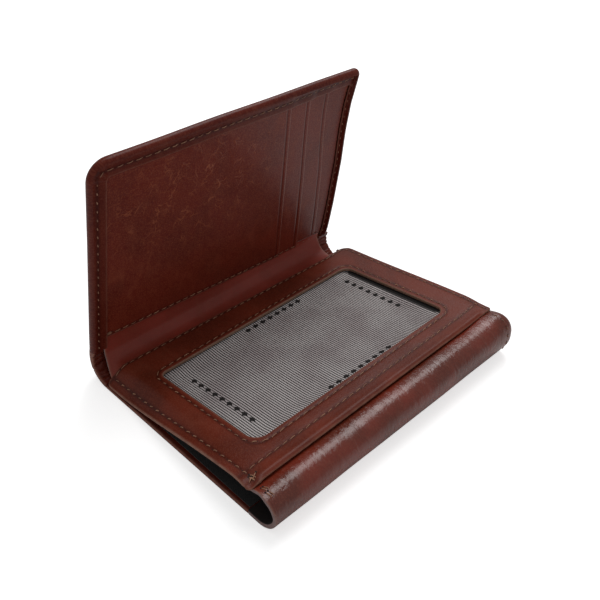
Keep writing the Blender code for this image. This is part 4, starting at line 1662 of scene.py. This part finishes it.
@dataclass
class Spine:
    """The spine: outer hide and the gusset inside it, each in two halves that bend at a fold."""

    finishes: Finishes
    base: Base
    leaf: Leaf
    fold: tuple
    radius: float = 8.55
    rest_deg: float = 100.0
    hide: float = 0.9
    hem: float = 1.75
    left: float = -52.9
    leaf_hem: float = 2.9
    meet_deg: float = 50.0
    flat_run: float = 0.4

    def outer_line(self, start: float, stop: float) -> Polyline:
        """Outer face of the spine in YZ between two angles; 0 points down, rest_deg is the leaf."""
        center = (self.fold[1], self.radius)
        points = arc(center, self.radius, start - 90.0, stop - 90.0, 40)
        up = self.leaf.axes()[0]
        if stop >= self.rest_deg:
            last = points[-1]
            points.append((last[0] + up[1] * self.flat_run, last[1] + up[2] * self.flat_run))
        if start <= 0.0:
            points.insert(0, (points[0][0] - self.flat_run, points[0][1]))
        return Polyline(points)

    def build_hide(self, name: str, start: float, stop: float) -> Thing:
        """One half of the outer hide; its ends are turned in as pleated hems."""
        line = self.outer_line(start, stop)
        columns = joined(spaced(0.0, 7.0, 0.4), spaced(7.0, 98.5, 1.3), spaced(98.5, 105.7, 0.4))
        rows = spaced(line.length, 0.0, 0.4)

        def place(u: Array, v: Array) -> Array:
            spots = line.at(v)
            left = np.interp(spots[:, 1], [0.0, 4.0, 10.0], [-0.5, -0.4, 0.25])
            shift = left * ease((12.0 - u) / 12.0) + 0.9 * ease((u - 90.0) / 14.0)
            return np.stack([self.left + u + shift, spots[:, 0], spots[:, 1]], axis=-1)

        def wall(u: Array, v: Array) -> Array:
            around = (v + (start / 100.0) * 14.9) if start > 0 else v
            from_end = np.minimum(u, 105.7 - u)
            turned = ease((6.0 - from_end) / 0.7)
            pleats = np.zeros_like(u)
            for k, centre in enumerate((1.2, 3.3, 5.0, 6.6, 8.9, 10.7, 12.6)):
                bend = centre + 0.35 * np.sin(from_end * 0.9 + k)
                pleats += bell(around - bend, 0.34) * (0.65 + 0.3 * math.sin(k * 2.1))
            hem = self.hem + (self.leaf_hem - self.hem) * (around / 14.9) ** 2.0
            fold = 1.0 - 0.42 * np.clip(pleats, 0.0, 1.0)
            return self.hide + (hem - self.hide) * turned * fold

        finish = self.finishes
        return Sheet(
            name, columns, rows, place, self.leaf_hem, [finish.outer],
            free=lambda u, v: np.minimum(u, 105.7 - u), thickness=wall, thinnest=0.8, round_off=0.36,
        ).build()

    def gusset_line(self) -> Polyline:
        """Middle of the gusset in YZ, from under the panel to behind the front pocket's foot."""
        knots = ((29.6, 4.95), (31.4, 4.85), (34.2, 5.0), (36.8, 5.75), (38.9, 7.3), (40.1, 9.0))
        knots += ((40.62, 10.4), (40.45, 12.0))
        return smooth_line(knots)

    def build_gusset(self, name: str, start: float, stop: float) -> Thing:
        """One half of the gusset, between two shares of its length."""
        line = self.gusset_line()
        rows = spaced(start * line.length, stop * line.length, 0.45)
        columns = joined(spaced(0.0, 6.0, 0.5), spaced(6.0, 95.5, 1.3))

        def place(u: Array, v: Array) -> Array:
            spots, heading = line.at(v), line.heading(v, 0.4)
            share = v / line.length
            normal = np.stack([-heading[:, 1], heading[:, 0]], axis=-1)
            puff = 0.20 * np.sin(u / 8.0 + 0.5) * np.sin(share * math.pi)
            first = -51.0 + 2.4 * share
            x = first + u * (46.9 + 1.4 * share - first) / 95.5
            level = self.base.back_height + self.base.cross_rise * x
            under = level - self.base.panel_top(x, 31.0 + self.base.slant(x))
            droop = np.maximum(under, -0.4) * (1.0 - ease((share - 0.12) / 0.45))
            spots = spots + normal * puff[:, None]
            climb = 2.25 * (1.0 - x / 47.5) * np.clip((share - 0.72) / 0.28, 0.0, 1.0)
            up, _ = self.leaf.axes()
            y = spots[:, 0] + climb * up[1] + self.base.slant(x) * (1.0 - ease(share / 0.75))
            return np.stack([x, y, spots[:, 1] - droop + climb * up[2]], axis=-1)

        finish = self.finishes
        return Sheet(
            name, columns, rows, place, 0.6, [finish.gusset, finish.flesh, finish.dyed_cut],
            side=Side.MIDDLE, free=lambda u, v: np.minimum(u, 95.5 - u), round_off=0.18,
        ).build()

    def build(self) -> None:
        """Build the four halves and let each bend across its own fold."""
        line = self.outer_line(0.0, self.rest_deg)
        turns = np.radians([self.meet_deg - 14.0, self.meet_deg + 14.0])
        below, above = line.at(self.flat_run + turns * self.radius) * MM
        base_end = (0.0, (self.fold[1] - self.flat_run) * MM, 0.0)
        top = line.at(np.array([line.length]))[0]
        leaf_end = (0.0, float(top[0]) * MM, float(top[1]) * MM)
        lower = self.build_hide("spine_hide_lower", 0.0, self.meet_deg)
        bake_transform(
            lower, Body.BASE.value, Body.SPINE.value, start=base_end, end=(0.0, *map(float, below))
        )
        settle(lower)
        upper = self.build_hide("spine_hide_upper", self.meet_deg, self.rest_deg)
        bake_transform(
            upper, Body.SPINE.value, Body.LEAF.value, start=(0.0, *map(float, above)), end=leaf_end
        )
        settle(upper, None, ["spine_cover"])
        run = self.gusset_line()
        marks = [run.at(np.array([share * run.length]))[0] for share in (0.22, 0.6, 1.0)]
        spots = [(0.0, float(y) * MM, float(z) * MM) for y, z in marks]
        lower = self.build_gusset("gusset_lower", 0.0, 0.6)
        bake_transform(lower, Body.BASE.value, Body.SPINE.value, start=spots[0], end=spots[1])
        settle(lower)
        upper = self.build_gusset("gusset_upper", 0.6, 1.0)
        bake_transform(upper, Body.SPINE.value, Body.LEAF.value, start=spots[1], end=spots[2])
        settle(upper, None, ["spine_gusset"])


# --- Studio ---


@dataclass(frozen=True)
class SoftBox:
    """A square lamp that looks at the holder."""

    name: str
    place: tuple
    size: tuple
    power: float


@dataclass(frozen=True)
class Studio:
    """Pale floor, pale surroundings, soft boxes and the camera."""

    target: tuple = (0.0, 0.0, 0.02)
    floor: float = 3.0
    floor_glow: float = 0.62
    ambient: float = 0.36
    boxes: tuple = (SoftBox("key_box", (0.27, 0.165, 0.57), (0.28, 0.60), 2.0),)
    camera: tuple = (-0.13796, -0.12829, 0.16737)
    across: tuple = (0.73228, -0.68099, 0.00546)
    upward: tuple = (0.37989, 0.41513, 0.82665)
    backward: tuple = (-0.56520, -0.60326, 0.56269)
    lens: float = 45.95
    sensor: float = 36.0
    shift: float = 0.06

    def build_floor(self) -> None:
        """A plain pale floor with a faint unevenness."""
        deselect_all()
        bpy.ops.mesh.primitive_plane_add(size=self.floor, location=(0.0, 0.0, -0.00005))
        floor = bpy.context.object
        floor.name = "floor"
        material, tree, shader = new_material("pale_floor")
        place = tree.add("TexCoord").outputs["Object"]
        cloudy = tree.noise(place, 9.0, 3.0)
        color = tree.mix(tree.ramp(cloudy, 0.3, 0.7), (0.86, 0.86, 0.86), (0.90, 0.90, 0.90))
        tree.put(shader.inputs["Base Color"], color)
        tree.put(shader.inputs["Roughness"], tree.ramp(cloudy, 0.2, 0.8, 0.7, 0.9))
        shader.inputs["Specular IOR Level"].default_value = 0.0
        seen = tree.add("LightPath").outputs["Is Camera Ray"]
        glow = tree.add("Emission", {"Color": (1.0, 1.0, 1.0), "Strength": self.floor_glow})
        both = tree.add("AddShader", {0: shader.outputs[0], 1: glow.outputs[0]})
        mixed = tree.add("MixShader", {0: seen, 1: shader.outputs[0], 2: both.outputs[0]})
        tree.put(material.node_tree.nodes["Material Output"].inputs["Surface"], mixed.outputs[0])
        floor.data.materials.append(material)
        floor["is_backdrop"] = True

    def build_lights(self) -> None:
        """The surroundings and the soft boxes."""
        world = bpy.data.worlds.new("pale_room")
        bpy.context.scene.world = world
        world.use_nodes = True
        sky = world.node_tree.nodes["Background"]
        tree = Tree(world.node_tree)
        seen = tree.add("LightPath").outputs["Is Camera Ray"]
        sky.inputs["Color"].default_value = (1.0, 1.0, 1.0, 1.0)
        tree.put(sky.inputs["Strength"], tree.ramp(seen, 0.0, 1.0, self.ambient, 1.0))
        for box in self.boxes:
            lamp = bpy.data.lights.new(box.name, "AREA")
            lamp.shape = "RECTANGLE"
            lamp.size, lamp.size_y = box.size
            lamp.energy = box.power
            holder = bpy.data.objects.new(box.name, lamp)
            bpy.context.scene.collection.objects.link(holder)
            aim = Vector(self.target) - Vector(box.place)
            holder.location = box.place
            holder.rotation_euler = aim.to_track_quat("-Z", "Y").to_euler()

    def build_camera(self) -> None:
        """The camera, at its place and with its small lens shift."""
        lens = bpy.data.cameras.new("camera")
        lens.lens = self.lens
        lens.sensor_width = self.sensor
        lens.shift_x = self.shift
        lens.shift_y = -self.shift
        lens.clip_start = 0.01
        camera = bpy.data.objects.new("camera", lens)
        bpy.context.scene.collection.objects.link(camera)
        turned = Matrix((self.across, self.upward, self.backward)).transposed().to_4x4()
        camera.matrix_world = Matrix.Translation(self.camera) @ turned
        bpy.context.scene.camera = camera

    def build(self) -> None:
        """Set up the whole studio."""
        self.build_camera()
        self.build_floor()
        self.build_lights()
        bpy.context.scene.view_settings.view_transform = "Standard"


def clear_startup() -> None:
    """Remove what Blender's first scene starts with."""
    for name in ("Cube", "Light", "Camera"):
        if name in bpy.data.objects:
            bpy.data.objects.remove(bpy.data.objects[name], do_unlink=True)


def plain_box(box: object) -> list:
    return [[float(number) for number in corner] for corner in box]


def main() -> dict:
    """Build the studio and the holder.

    Returns:
        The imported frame's box.
    """
    logging.basicConfig(level=logging.INFO, format="%(message)s")
    packed = plain_box(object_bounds())
    clear_startup()
    Studio().build()
    folds = {joint["name"]: [number / MM for number in joint["pos_m"]] for joint in frame["joints"]}
    finishes = Finishes()
    kit = SewingKit(finishes.thread, finishes.hole)
    base = Base(finishes, kit)
    base.build()
    leaf = Leaf(finishes, kit, tuple(folds["leaf_fold"]))
    leaf.build()
    Spine(finishes, base, leaf, tuple(folds["spine_fold"])).build()
    sizes = {"packed": packed, "visual": plain_box(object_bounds())}
    return sizes


if __name__ == "__main__":
    main()
